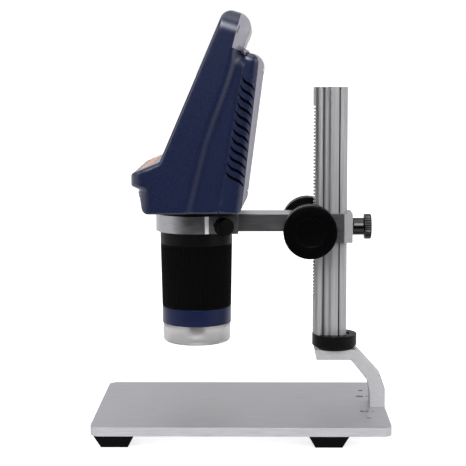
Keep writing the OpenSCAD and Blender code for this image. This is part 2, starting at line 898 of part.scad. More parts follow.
// Column of a rounded section whose front edge is at y = 0
module column(w, r, h) {
    translate([0, far / 2, 0]) linear_extrude(h) round_rect(w, far, r);
}

// Rounds the head's corners, seen from in front of the slab and from above, d inside its faces
module corner_mask(w, d) {
    intersection() {
        on_slab() translate([0, 0, slab_h]) rotate([top_tilt, 0, 0]) translate([0, far / 2, -d])
            rotate([-90, 0, 180]) column(w, max(corner_r - d, 1), far);
        translate([0, heel.x, heel.y]) rotate([-rear_lean, 0, 0]) translate([0, -d, -far / 2])
            rotate(180) column(w, max(rear_r - d, 1), far);
        translate([0, nose_tip.x + d, -far / 2]) column(w, nose_r, far);
        union() {
            translate([0, chin.x + d, -far / 2]) column(w, neck_r - d, far / 2 + chin.y);
            translate([-head_w, -far / 2, chin.y]) cube([2 * head_w, far, far]);
        }
    }
}

module outline_solid(w) {
    intersection() {
        across(w) polygon(rounded(head_outline));
        corner_mask(w, 0);
    }
}

module head_cavity() {
    intersection() {
        across(cavity_w) polygon(rounded(inset(head_outline, wall)));
        corner_mask(cavity_w, wall);
    }
}

// Everything in front of the seams
module front_zone() {
    polygon([[-90, -20], ridge_low - [3, 20], ridge_low, ridge_high, seam_foot,
             seam_point(slab_h + 20), slab_point(-90, slab_h + 60)]);
}

// The part of the outline that has the display's full width
module wide_zone() {
    polygon([[-90, -20], [90, -20], [90, band_h], step_point(band_h), seam_foot,
             seam_point(slab_h + 20), slab_point(-90, slab_h + 60)]);
}

module head_shell() {
    outline_solid(bulge_w);
    intersection() {
        outline_solid(head_w);
        across(2 * head_w) wide_zone();
    }
}

module base_opening() {
    translate([0, 0, -1]) cylinder(r = bore_r, h = wall + 2);
}

module case_bosses(low_y, high_y) {
    for (side = [0, 1]) mirror([side, 0, 0]) {
        box([case_x - boss_half, low_y, case_low - boss_half], [bulge_w / 2 - 1, far, case_low + boss_half]);
        box([case_x - boss_half, high_y, case_high - boss_half], [bulge_w / 2 - 1, far, case_high + boss_half]);
    }
}

module case_screw_places() {
    for (x = [-1, 1]) {
        translate([x * case_x, rear_y(case_low), case_low]) children();
        translate([x * case_x, rear_y(case_high), case_high]) children();
    }
}

board_screw_x = board_w / 2 - 4;
board_screw_dz = board_h / 2 - 4;

module board_screw_places() {
    on_slab() for (x = [-1, 1], z = [-1, 1])
        translate([x * board_screw_x, 0, board_z + z * board_screw_dz]) children();
}

module cover_screw_places() {
    on_slab() for (x = [-1, 1]) translate([x * cover_screw_x, 0, cover_screw_z]) children();
}

module key_places() {
    on_ledge() for (i = [1 : key_count]) translate([(i - (key_count + 1) / 2) * key_pitch, key_y, 0])
        children();
}

// Outline of a socket's opening, grown by g, as a bar from x = a to x = b
module port_bar(port, g, a, b) {
    translate([a, port_y, port[0]]) rotate([90, 0, 90]) linear_extrude(b - a)
        round_rect(port[1] + 2 * g, port[2] + 2 * g, min(1, port[2] / 2 - 0.1) + g);
}

module port_cuts() {
    for (port = [power_port, data_port, card_port])
        port_bar(port, 0.2, -head_w / 2 - 1, port_x + 1);
}

module front_housing() {
    color("#26335a") on_head() difference() {
        union() {
            difference() {
                intersection() {
                    head_shell();
                    across(2 * head_w) front_zone();
                }
                head_cavity();
            }
            intersection() {
                union() {
                    case_bosses(ridge_y(case_low) - boss_l, ridge_y(case_high) - boss_l);
                    board_screw_places() rod_y(board_boss_r, wall - 0.5, board_y);
                    cover_screw_places() rod_y(cover_boss_r, wall - 0.5, slab_t);
                    key_board_posts();
                    box([dimmer_body_x, dimmer_y, wall - 0.5], dimmer_body_low + [dimmer_body_w, 9, 0]);
                }
                across(2 * head_w) front_zone();
                outline_solid(bulge_w - 1);
            }
        }
        on_slab() translate([0, 0, window_z]) rotate([-90, 0, 0]) {
            translate([0, 0, -1]) linear_extrude(1 + window_t) round_rect(window_w, window_h, 3);
            linear_extrude(wall + 0.5) round_rect(view_w, view_h, 1);
        }
        key_places() translate([0, 0, -wall - 1]) linear_extrude(wall + 2)
            round_rect(key_w + 0.4, key_l + 0.4, key_w / 2);
        translate([0, dimmer_y, dimmer_z])
            rod_x(dimmer_r + 0.4, dimmer_x - 0.4, dimmer_x + dimmer_t + 0.4);
        base_opening();
        barrel_screw_places() cylinder(r = 1.35, h = wall + 1);
        board_screw_places() rod_y(board_screw_r + seat, board_y - board_screw_l - 0.5, board_y + 1);
        cover_screw_places() rod_y(cover_screw_r + seat, shell_d - 7, slab_t);
        case_screw_places() rod_y(case_r + seat, -case_screw_l - 16, 1);
        port_cuts();
    }
}

module key_board_posts() {
    on_ledge() for (side = [0, 1]) mirror([side, 0, 0])
        box([key_board_w / 2 - 4, key_y - 3, key_board_z], [key_board_w / 2, key_y + 3, -wall + 0.5]);
}

// Far end of the seam under the top cover, out through the notch
notch_out = notch + 12 * unit([1, 0.62]);

module rear_zone() {
    polygon([ridge_low - [3, 20], cover_line(-20), cover_line(bulge_top + 20), notch_out,
             ridge_high, ridge_low]);
}

module top_zone() {
    polygon([ridge_high, notch_out, slab_point(slab_t + 30, slab_h + 20),
             seam_point(slab_h + 20), seam_foot]);
}

// Point at height z on the seam between rear housing and rear cover
function cover_line(z) = [rear_y(z) - cover_t, z];

// Centre line of vent k: a shallow S from the ridge to the rear cover
function vent_point(k, t) =
    let (
        start_z = bulge_top - 16.9 - k * vent_step,
        end_z = start_z - 8.9,
        a = [ridge_y(start_z) + 1.6, start_z],
        b = [cover_line(end_z).x - 1.1, end_z],
        side = unit([a.y - b.y, b.x - a.x]))
    a + t * (b - a) - 0.8 * sin(360 * t) * side;
vent_step = 5.59;

module vent_slot(k) {
    n = 10;
    polygon([
        for (i = [0 : n]) vent_point(k, i / n) + [0, vent_w / 2],
        for (i = [n : -1 : 0]) vent_point(k, i / n) - [0, vent_w / 2]]);
}

module rear_housing() {
    color("#26335a") on_head() difference() {
        union() {
            difference() {
                intersection() {
                    head_shell();
                    across(2 * head_w) rear_zone();
                }
                head_cavity();
            }
            intersection() {
                case_bosses(0, 0);
                across(2 * head_w) rear_zone();
                outline_solid(bulge_w - 1);
            }
        }
        for (k = [0 : vent_count - 1]) across(2 * head_w) vent_slot(k);
        base_opening();
        case_screw_places() rod_y(case_r + 0.15, -case_screw_l - 16, 1);
    }
}

module rear_cover() {
    color("#a8a4a8") on_head() difference() {
        intersection() {
            outline_solid(bulge_w);
            across(2 * head_w) polygon([cover_line(0) - [0, 20], [bulge_rear + 40, -20],
                [bulge_rear + 40, bulge_top + 30], cover_line(bulge_top + 30), cover_line(0)]);
        }
        case_screw_places() {
            rod_y(case_r + 0.15, -case_screw_l - 16, 5);
            rod_y(2.9, -screw_sink, 5);
        }
    }
}

module top_cover() {
    color("#a8a4a8") on_head() difference() {
        union() {
            difference() {
                intersection() {
                    outline_solid(bulge_w);
                    across(2 * head_w) top_zone();
                }
                head_cavity();
            }
            intersection() {
                cover_screw_places() rod_y(cover_boss_r, shell_d, slab_t);
                outline_solid(bulge_w);
                across(2 * head_w) top_zone();
            }
        }
        cover_screw_places() {
            rod_y(cover_screw_r + 0.1, shell_d - 1, slab_t + 1);
            rod_y(2.5, slab_t - screw_sink, slab_t + 1);
        }
        on_slab() for (x = [-1, 1]) box([x * bulge_w / 2 - 1, shell_d + 2, slab_h - 12],
            [x * bulge_w / 2 + 1, shell_d + 2.8, slab_h - 7]);
    }
}

module display_window() {
    color([0.1, 0.12, 0.15, 0.7]) on_head() on_slab() translate([0, 0, window_z]) rotate([-90, 0, 0])
        linear_extrude(window_t) round_rect(window_w - 0.2, window_h - 0.2, 2.9);
}

module lcd_panel() {
    color("#0c0e14") on_head() on_slab()
        box([-panel_w / 2, wall, window_z - panel_h / 2], [panel_w / 2, wall + panel_t, window_z + panel_h / 2]);
}

module main_board() {
    color("darkgreen") on_head() on_slab() {
        difference() {
            box([-board_w / 2, board_y, board_z - board_h / 2],
                [board_w / 2, board_y + board_t, board_z + board_h / 2]);
            for (x = [-1, 1], z = [-1, 1])
                translate([x * board_screw_x, 0, board_z + z * board_screw_dz])
                    rod_y(board_screw_r + 0.15, 0, slab_t);
        }
        box([-9, board_y + board_t - eps, board_z - 9], [9, board_y + board_t + 1.4, board_z + 9]);
    }
}

module board_screws() {
    color("gray") on_head() board_screw_places() {
        rod_y(board_screw_r, board_y - board_screw_l, board_y + board_t + eps);
        rod_y(board_screw_r + 1, board_y + board_t, board_y + board_t + 1.4);
    }
}

module key_board() {
    color("darkgreen") on_head() on_ledge()
        box([-key_board_w / 2, key_y - key_board_l / 2, key_board_z - board_t],
            [key_board_w / 2, key_y + key_board_l / 2, key_board_z]);
}

// Key with a skirt that the ledge's wall keeps in
module key(i) {
    skirt_top = -wall - 0.1;
    stem_foot = key_board_z + key_travel + 0.05;
    color("#f0a070") on_head() on_ledge()
        translate([(i - (key_count + 1) / 2) * key_pitch, key_y, 0]) {
            translate([0, 0, skirt_top - eps]) linear_extrude(key_rise - skirt_top + eps)
                round_rect(key_w, key_l, key_w / 2 - eps);
            translate([0, 0, skirt_top - 0.7]) linear_extrude(0.7)
                round_rect(key_w + 1.6, key_l + 1.6, key_w / 2);
            translate([0, 0, stem_foot]) cylinder(r = 2, h = skirt_top - stem_foot);
        }
}

// Thumbwheel with finger notches; its edge shows under the ledge
module dimmer_wheel() {
    color("#18181a") on_head() translate([0, dimmer_y, dimmer_z]) {
        difference() {
            rod_x(dimmer_r, dimmer_x, dimmer_x + dimmer_t);
            for (a = [0 : 20 : 340]) rotate([a, 0, 0]) translate([0, 0, dimmer_r + 0.1])
                rod_x(0.4, dimmer_x - 1, dimmer_x + dimmer_t + 1);
        }
        rod_x(1.2, dimmer_x + dimmer_t - eps, dimmer_x + dimmer_t + 4);
    }
}

module dimmer_body() {
    color("#303034") on_head() difference() {
        box(dimmer_body_low, [dimmer_body_x + dimmer_body_w, dimmer_y + 8, dimmer_z + 5]);
        translate([0, dimmer_y, dimmer_z])
            rod_x(1.2 + slip, dimmer_body_x - 1, dimmer_x + dimmer_t + 4.5);
    }
}

module case_screws() {
    color("gray") on_head() {
        case_screw_places() {
            rod_y(case_r, -case_screw_l, eps - screw_sink);
            rod_y(2.6, -screw_sink, -0.4);
        }
        cover_screw_places() {
            rod_y(cover_screw_r, shell_d - 6, slab_t - screw_sink + eps);
            rod_y(2.1, slab_t - screw_sink, slab_t - 0.5);
        }
    }
}

// ---- sockets on the left side ----

module port_board() {
    x = port_x + socket_d;
    low = power_port[0] - 7;
    high = card_port[0] + 4.5;
    color("darkgreen") on_head()
        box([x, port_y - port_half, low], [x + board_t, port_y + port_half, high]);
}

// Metal or plastic shell of a socket, with a contact tongue where it has one
module socket(port, depth, tongue) {
    difference() {
        port_bar(port, socket_wall, port_x, port_x + socket_d);
        port_bar(port, 0, port_x - 1, port_x + depth);
    }
    if (tongue) box([port_x + 1.5, port_y - port[1] / 2 + 1.2, port[0] - 0.4],
        [port_x + depth + eps, port_y + port[1] / 2 - 1.2, port[0] + 0.4]);
}

module power_inlet() {
    color("#202022") on_head() socket(power_port, 7, true);
}

module usb_port() {
    color("silver") on_head() socket(data_port, 7, true);
}

module card_slot() {
    color("silver") on_head() socket(card_port, 9, false);
}

base_plate();
feet();
foot_screws();
bracket();
bracket_screws();
post();
post_screw();
rack();
post_collar();
carriage_block();
carriage_cap();
cap_screws();
pinion_bushes();
arm_bar();
arm_screws();
clamp_ring();
ring_screws();
pinion_shaft();
knob_right();
knob_left();
knob_set_screws();
lock_screw();
lock_pad();
clamp_screw();
clamp_pad();
barrel_tube();
barrel_screws();
focus_ring();
nose_ring();
diffuser();
led_board();
leds();
lens_carrier();
objective_lenses();
sensor_board();
front_housing();
rear_housing();
rear_cover();
top_cover();
display_window();
lcd_panel();
main_board();
board_screws();
key_board();
key(1);  // key_1
key(2);  // key_2
key(3);  // key_3
key(4);  // key_4
key(5);  // key_5
dimmer_wheel();
dimmer_body();
case_screws();
port_board();
power_inlet();
usb_port();
card_slot();
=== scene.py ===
import bmesh
import bpy
import numpy as np
from mathutils import Matrix, Vector
from mathutils.geometry import delaunay_2d_cdt


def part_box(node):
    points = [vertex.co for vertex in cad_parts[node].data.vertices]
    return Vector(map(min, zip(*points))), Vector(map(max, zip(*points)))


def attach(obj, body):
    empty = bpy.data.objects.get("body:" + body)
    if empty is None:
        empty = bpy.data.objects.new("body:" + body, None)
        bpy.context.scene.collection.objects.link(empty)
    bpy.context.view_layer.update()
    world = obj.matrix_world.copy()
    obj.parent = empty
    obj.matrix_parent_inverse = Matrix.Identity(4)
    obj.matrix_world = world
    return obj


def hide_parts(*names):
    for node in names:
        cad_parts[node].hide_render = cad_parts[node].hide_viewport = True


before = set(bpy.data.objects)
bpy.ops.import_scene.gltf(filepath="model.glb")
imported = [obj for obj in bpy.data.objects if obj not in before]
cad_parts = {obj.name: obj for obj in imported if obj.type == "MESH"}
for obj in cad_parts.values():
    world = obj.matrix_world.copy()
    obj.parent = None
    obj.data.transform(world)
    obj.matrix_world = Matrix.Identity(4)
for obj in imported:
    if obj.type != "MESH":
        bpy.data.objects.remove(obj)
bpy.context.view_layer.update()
mm = 0.001
pi = np.pi


def inMm(box):      # both corners of a box in millimetres
    return [np.array(corner) / mm for corner in box]


barrelLow, barrelHigh = inMm(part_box("barrel_tube"))
scopeY = (barrelLow[1] + barrelHigh[1]) / 2
headZ = barrelHigh[2]

# Studio: a white room that a mirror also sees, with the unlit side where the viewer stands
studio = {
    "cameraPlace": (0.9006, 0.0124, 0.2542),
    "yaw": 1.155, "pitch": 7.389, "roll": -0.207,      # degrees
    "focalPixels": 1308, "imagePixels": 466, "sensor": 36,
    "ambient": 0.42,           # world light on matt surfaces
    "unlitSide": (0.99, -0.14, 0.05),
    "unlitLevel": 0.02,
    "unlitFrom": 0.28, "unlitTo": 0.82,   # cosines between which the unlit side fades in
    # softboxes that only a sheen sees: direction, cosines of the edge's start and end, strength
    "softboxes": [((0.846, -0.05, 0.53), 0.92, 0.985, 8.5), ((0.30, -0.10, 0.95), 0.86, 0.96, 1.8)],
    "floorEdge": 30.0, "floorHex": "#f4f4f4",
    "floorLift": (0.74, 1.0), "floorLiftFrom": (0.22, 0.9),      # added glow near and far, and its distances
    "floorUnlitFrom": (0.12, 0.45),
}
lamps = [
    # name, place, target, side in metres, watts
    ("overhead", (0.05, -0.10, 1.50), (0.0, 0.0, 0.15), 1.2, 5.0),
    ("highFront", (1.10, -0.05, 0.90), (0.0, 0.0, 0.20), 0.45, 4.5),
    ("frontSoftbox", (0.80, -1.05, 0.60), (0.0, 0.0, 0.15), 0.8, 6.5),
    ("rearSoftbox", (0.80, 1.05, 0.60), (0.0, 0.0, 0.15), 0.8, 5.5),
]


def unit(v):
    return v / np.linalg.norm(v, axis=-1, keepdims=True)


def linear(hexColour):      # sRGB hex to linear RGBA
    channels = np.array([int(hexColour[i:i + 2], 16) / 255 for i in (1, 3, 5)])
    low, high = channels / 12.92, ((channels + 0.055) / 1.055) ** 2.4
    return (*np.where(channels <= 0.04045, low, high).tolist(), 1.0)


def addNode(tree, kind, settings=None, links=None):      # a node with its settings and its inputs' sources
    node = tree.nodes.new("ShaderNode" + kind)
    for key, value in (settings or {}).items():
        if isinstance(key, str) and hasattr(node, key):
            setattr(node, key, value)
        else:
            node.inputs[key].default_value = value
    for key, source in (links or {}).items():
        tree.links.new(source, node.inputs[key])
    return node


def setRamp(node, stops):      # colour stops of a ramp as (place, hex)
    elements = node.color_ramp.elements
    while len(elements) > 1:
        elements.remove(elements[-1])
    for i, (place, hexColour) in enumerate(stops):
        stop = elements[0] if i == 0 else elements.new(place)
        stop.position = place
        stop.color = linear(hexColour)


def aimedMatrix(place, yaw, pitch, roll):      # camera matrix from heading, downward tilt and roll
    y, p, r = np.radians([yaw, pitch, roll])
    forward = np.array([-np.cos(p) * np.cos(y), -np.cos(p) * np.sin(y), -np.sin(p)])
    level = np.array([-np.sin(y), np.cos(y), 0])
    upright = np.cross(level, forward)
    right = np.cos(r) * level + np.sin(r) * upright
    up = np.cross(right, forward)
    m = np.eye(4)
    m[:3, 0], m[:3, 1], m[:3, 2], m[:3, 3] = right, up, -forward, place
    return Matrix(m.tolist())


def placeCamera(scene):
    camera = bpy.data.objects.new("camera", bpy.data.cameras.new("camera"))
    scene.collection.objects.link(camera)
    camera.data.sensor_width = studio["sensor"]
    camera.data.lens = studio["sensor"] * studio["focalPixels"] / studio["imagePixels"]
    camera.data.clip_start, camera.data.clip_end = 0.05, 50
    camera.matrix_world = aimedMatrix(studio["cameraPlace"], studio["yaw"], studio["pitch"], studio["roll"])
    scene.camera = camera


def makeRoom(scene):
    # white to the eye, softer on matt surfaces, and in a sheen an unlit side and bright softboxes
    world = bpy.data.worlds.new("studioRoom")
    scene.world = world
    world.use_nodes = True
    tree = world.node_tree
    tree.nodes.clear()
    rays = addNode(tree, "LightPath").outputs
    heading = addNode(tree, "TexCoord").outputs["Generated"]
    toViewer = addNode(tree, "VectorMath", {"operation": "DOT_PRODUCT", 1: studio["unlitSide"]}, {0: heading})
    sheenLight = addNode(tree, "MapRange", {
        "interpolation_type": "SMOOTHSTEP", "From Min": studio["unlitFrom"], "From Max": studio["unlitTo"],
        "To Min": 1.0, "To Max": studio["unlitLevel"]}, {"Value": toViewer.outputs["Value"]}).outputs[0]
    for way, edge, full, strength in studio["softboxes"]:
        towards = addNode(tree, "VectorMath", {
            "operation": "DOT_PRODUCT", 1: unit(np.array(way)).tolist()}, {0: heading})
        patch = addNode(tree, "MapRange", {
            "interpolation_type": "SMOOTHSTEP", "From Min": edge, "From Max": full,
            "To Min": 0.0, "To Max": strength}, {"Value": towards.outputs["Value"]})
        sheenLight = addNode(tree, "Math", {"operation": "ADD"}, {
            0: sheenLight, 1: patch.outputs[0]}).outputs[0]
    plain = addNode(tree, "Math", {"operation": "MAXIMUM"}, {
        0: rays["Is Camera Ray"], 1: rays["Is Transmission Ray"]})
    gloss = addNode(tree, "Mix", {"data_type": "FLOAT", "A": studio["ambient"]}, {
        "Factor": rays["Is Glossy Ray"], "B": sheenLight})
    level = addNode(tree, "Mix", {"data_type": "FLOAT", "B": 1.0}, {
        "Factor": plain.outputs[0], "A": gloss.outputs[0]})
    light = addNode(tree, "Background", {"Color": (1, 1, 1, 1)}, {"Strength": level.outputs[0]})
    addNode(tree, "OutputWorld", {}, {"Surface": light.outputs[0]})


def hangLamps(scene):
    for name, place, target, side, watts in lamps:
        lamp = bpy.data.lights.new(name, "AREA")
        lamp.size, lamp.energy = side, watts
        holder = bpy.data.objects.new(name, lamp)
        scene.collection.objects.link(holder)
        way = np.array(target) - np.array(place)
        level = np.hypot(way[0], way[1])
        holder.matrix_world = aimedMatrix(
            place, np.degrees(np.arctan2(-way[1], -way[0])), np.degrees(np.arctan2(-way[2], level)), 0)


def layFloor(scene):      # pale paper with a glow that only the eye, a mirror and clear plastic see
    edge = studio["floorEdge"]
    floor = bpy.data.objects.new("floor", bpy.data.meshes.new("floor"))
    corners = [(x * edge, y * edge, 0) for x, y in ((-1, -1), (1, -1), (1, 1), (-1, 1))]
    floor.data.from_pydata(corners, [], [(0, 1, 2, 3)])
    scene.collection.objects.link(floor)
    paper = bpy.data.materials.new("paleStudioPaper")
    paper.use_nodes = True
    tree = paper.node_tree
    tree.nodes.clear()
    rays = addNode(tree, "LightPath").outputs
    seen = addNode(tree, "Math", {"operation": "MAXIMUM"}, {
        0: rays["Is Camera Ray"], 1: rays["Is Glossy Ray"]})
    seen = addNode(tree, "Math", {"operation": "MAXIMUM"}, {
        0: seen.outputs[0], 1: rays["Is Transmission Ray"]})
    place = addNode(tree, "TexCoord").outputs["Object"]
    distance = addNode(tree, "VectorMath", {"operation": "LENGTH"}, {0: place})
    near, far = studio["floorLiftFrom"]
    glowShare = addNode(tree, "MapRange", {
        "interpolation_type": "SMOOTHSTEP", "From Min": near, "From Max": far,
        "To Min": studio["floorLift"][0], "To Max": studio["floorLift"][1]},
        {"Value": distance.outputs["Value"]})
    lift = addNode(tree, "Math", {"operation": "MULTIPLY"}, {0: seen.outputs[0], 1: glowShare.outputs[0]})
    matt = addNode(tree, "BsdfDiffuse", {"Color": linear(studio["floorHex"])})
    glow = addNode(tree, "Emission", {}, {"Strength": lift.outputs[0]})
    both = addNode(tree, "AddShader", {}, {0: matt.outputs[0], 1: glow.outputs[0]})
    # towards the viewer the floor is as unlit in a mirror as the room there
    along = addNode(tree, "SeparateXYZ", {}, {0: place})
    near, far = studio["floorUnlitFrom"]
    front = addNode(tree, "MapRange", {
        "interpolation_type": "SMOOTHSTEP", "From Min": near, "From Max": far}, {"Value": along.outputs["X"]})
    heading = addNode(tree, "VectorMath", {"operation": "NORMALIZE"}, {0: place})
    toViewer = addNode(tree, "VectorMath", {
        "operation": "DOT_PRODUCT", 1: studio["unlitSide"]}, {0: heading.outputs[0]})
    turned = addNode(tree, "MapRange", {
        "interpolation_type": "SMOOTHSTEP", "From Min": studio["unlitFrom"], "From Max": studio["unlitTo"]},
        {"Value": toViewer.outputs["Value"]})
    front = addNode(tree, "Math", {"operation": "MULTIPLY"}, {0: front.outputs[0], 1: turned.outputs[0]})
    hidden = addNode(tree, "Math", {"operation": "MULTIPLY"}, {0: rays["Is Glossy Ray"], 1: front.outputs[0]})
    unlit = addNode(tree, "Emission", {"Strength": studio["unlitLevel"]})
    whole = addNode(tree, "MixShader", {}, {0: hidden.outputs[0], 1: both.outputs[0], 2: unlit.outputs[0]})
    addNode(tree, "OutputMaterial", {}, {"Surface": whole.outputs[0]})
    floor.data.materials.append(paper)


bpy.context.scene.view_settings.view_transform = "Standard"
for makeStage in (placeCamera, makeRoom, hangLamps, layFloor):
    makeStage(bpy.context.scene)
print("studio ready")


# Finishes: each row holds a surface's own values, and grain sizes are in millimetres
def newFinish(name, hexColour, metallic, roughness, **sockets):
    finish = bpy.data.materials.new(name)
    finish.use_nodes = True
    tree = finish.node_tree
    shader = tree.nodes["Principled BSDF"]
    shader.inputs["Base Color"].default_value = linear(hexColour)
    shader.inputs["Metallic"].default_value = metallic
    shader.inputs["Roughness"].default_value = roughness
    for key, value in sockets.items():
        shader.inputs[key].default_value = value
    place = addNode(tree, "TexCoord").outputs["Object"]
    return finish, tree, shader, place


def mottle(tree, shader, place, hexes, grain, stretch, roughness, bump, detail, height):
    # noise of one grain size in mm steers colour between two hexes, roughness between two values, and a bump
    scaled = addNode(tree, "Mapping", {"Scale": stretch}, {"Vector": place})
    noise = addNode(tree, "TexNoise", {"Scale": 1 / (grain * mm), "Detail": detail, "Roughness": 0.55},
                    {"Vector": scaled.outputs[0]}).outputs["Fac"]
    tone = addNode(tree, "ValToRGB", {}, {"Fac": noise})
    setRamp(tone, [(0.32, hexes[0]), (0.68, hexes[1])])
    tree.links.new(tone.outputs["Color"], shader.inputs["Base Color"])
    polish = addNode(tree, "MapRange", {
        "From Min": 0.3, "From Max": 0.7, "To Min": roughness[0], "To Max": roughness[1]}, {"Value": noise})
    tree.links.new(polish.outputs[0], shader.inputs["Roughness"])
    if bump:
        relief = addNode(tree, "Bump", {"Strength": bump, "Distance": height * mm}, {"Height": noise})
        tree.links.new(relief.outputs[0], shader.inputs["Normal"])


def layOver(tree, shader, share, hexColour):      # a colour over the base colour where share is 1
    cover = addNode(tree, "Mix", {"data_type": "RGBA"}, {"Factor": share})
    cover.inputs[7].default_value = linear(hexColour)
    tree.links.new(shader.inputs["Base Color"].links[0].from_socket, cover.inputs[6])
    tree.links.new(cover.outputs[2], shader.inputs["Base Color"])


# Clear anodised aluminium, bead blasted or brushed: a soft grey metal that never mirrors sharply
def anodisedAluminium(name, hexes, roughness, grain, stretch, bump):
    finish, tree, shader, place = newFinish(name, hexes[0], 1.0, roughness[0])
    mottle(tree, shader, place, hexes, grain, stretch, roughness, bump, 4.0, 0.03)
    return finish


# Turned ring: its chamfer beside the flat gets a painted highlight, pale and without the lines, where the
# chamfer catches the light
def paintedHighlightStripAluminium(name, hexes, roughness, grain, stretch, bump, strip):
    finish = anodisedAluminium(name, hexes, roughness, grain, stretch, bump)
    tree = finish.node_tree
    shader = tree.nodes["Principled BSDF"]
    place = addNode(tree, "SeparateXYZ", {}, {0: addNode(tree, "TexCoord").outputs["Object"]}).outputs
    along = addNode(tree, "Math", {
        "operation": "COMPARE", 1: strip["y"] * mm, 2: strip["half"] * mm}, {0: place["Y"]})
    out = addNode(tree, "Math", {"operation": "ABSOLUTE"}, {0: place["X"]})
    out = addNode(tree, "Math", {"operation": "GREATER_THAN", 1: strip["outerX"] * mm}, {0: out.outputs[0]})
    share = addNode(tree, "Math", {"operation": "MULTIPLY"}, {0: along.outputs[0], 1: out.outputs[0]})
    # painted highlight: the pale colour over the chamfer
    layOver(tree, shader, share.outputs[0], strip["hex"])
    polish = shader.inputs["Roughness"]
    matt = addNode(tree, "Mix", {"data_type": "FLOAT", "B": strip["roughness"]},
                   {"Factor": share.outputs[0], "A": polish.links[0].from_socket})
    tree.links.new(matt.outputs[0], polish)
    return finish


# Extruded post: inside its grooves, between the sides' planes, painted shade darkens the metal, and a slot
# gets it too
def paintedGrooveShadeAluminium(name, hexes, roughness, grain, stretch, bump, groove):
    finish = anodisedAluminium(name, hexes, roughness, grain, stretch, bump)
    tree = finish.node_tree
    spot = addNode(tree, "TexCoord").outputs
    place = addNode(tree, "SeparateXYZ", {}, {0: spot["Object"]}).outputs
    facing = addNode(tree, "SeparateXYZ", {}, {0: spot["Normal"]}).outputs
    depth = addNode(tree, "Math", {"operation": "ABSOLUTE"}, {0: place["X"]})
    below = addNode(tree, "Math", {"operation": "LESS_THAN", 1: groove["belowX"] * mm}, {0: depth.outputs[0]})
    upright = addNode(tree, "Math", {"operation": "COMPARE", 1: 0.0, 2: 0.5}, {0: facing["Z"]})
    inGroove = addNode(tree, "Math", {"operation": "MULTIPLY"}, {0: below.outputs[0], 1: upright.outputs[0]})
    low, high = groove["fadeY"]
    dark = addNode(tree, "MapRange", {
        "interpolation_type": "SMOOTHSTEP", "From Min": low * mm, "From Max": high * mm,
        "To Min": groove["dark"][0], "To Max": groove["dark"][1]}, {"Value": place["Y"]})
    front = addNode(tree, "Math", {
        "operation": "GREATER_THAN", 1: (low - groove["lead"]) * mm}, {0: place["Y"]})
    rear = addNode(tree, "Math", {"operation": "LESS_THAN", 1: groove["slotY"] * mm}, {0: place["Y"]})
    along = addNode(tree, "Math", {"operation": "MULTIPLY"}, {0: front.outputs[0], 1: rear.outputs[0]})
    slot = addNode(tree, "Math", {
        "operation": "COMPARE", 1: groove["slotY"] * mm, 2: groove["slotHalf"] * mm}, {0: place["Y"]})
    # painted shade in the slot
    slotPaintedShade = addNode(tree, "Math", {"operation": "MULTIPLY", 1: groove["dark"][0]}, {0: slot.outputs[0]})
    shown = addNode(tree, "Math", {"operation": "MULTIPLY"}, {0: along.outputs[0], 1: dark.outputs[0]})
    shown = addNode(tree, "Math", {"operation": "MAXIMUM"}, {0: shown.outputs[0], 1: slotPaintedShade.outputs[0]})
    share = addNode(tree, "Math", {"operation": "MULTIPLY"}, {0: inGroove.outputs[0], 1: shown.outputs[0]})
    layOver(tree, tree.nodes["Principled BSDF"], share.outputs[0], groove["hex"])
    return finish


# Moulded ABS with a fine spark texture: matt skin with a faint broad sheen
def mouldedPlastic(name, hexes, roughness, grain=0.9, bump=0.12, sheen=0.5):
    finish, tree, shader, place = newFinish(name, hexes[0], 0.0, roughness[0], IOR=1.5)
    shader.inputs["Specular IOR Level"].default_value = sheen
    mottle(tree, shader, place, hexes, grain, (1, 1, 1), roughness, bump, 2.0, 0.05)
    return finish


# Clear or frosted plastic: the share of light that passes, and its roughness
def clearPlastic(name, hexColour, roughness, share, density, cloudSize=3.0):
    finish, tree, shader, place = newFinish(name, hexColour, 0.0, roughness, IOR=density)
    shader.inputs["Transmission Weight"].default_value = share
    cloud = addNode(tree, "TexNoise", {"Scale": 1 / (cloudSize * mm), "Detail": 2.0}, {"Vector": place})
    polish = addNode(tree, "MapRange", {"To Min": roughness * 0.9, "To Max": min(roughness * 1.1, 1.0)},
                     {"Value": cloud.outputs["Fac"]})
    tree.links.new(polish.outputs[0], shader.inputs["Roughness"])
    return finish


# ring's chamfer with a painted highlight: its middle and half width along y, and the x from which it is
# outside
paintedHighlightStrip = {"y": scopeY + 8.33, "half": 1.3, "outerX": 25.6, "hex": "#f2f2f4", "roughness": 0.62}
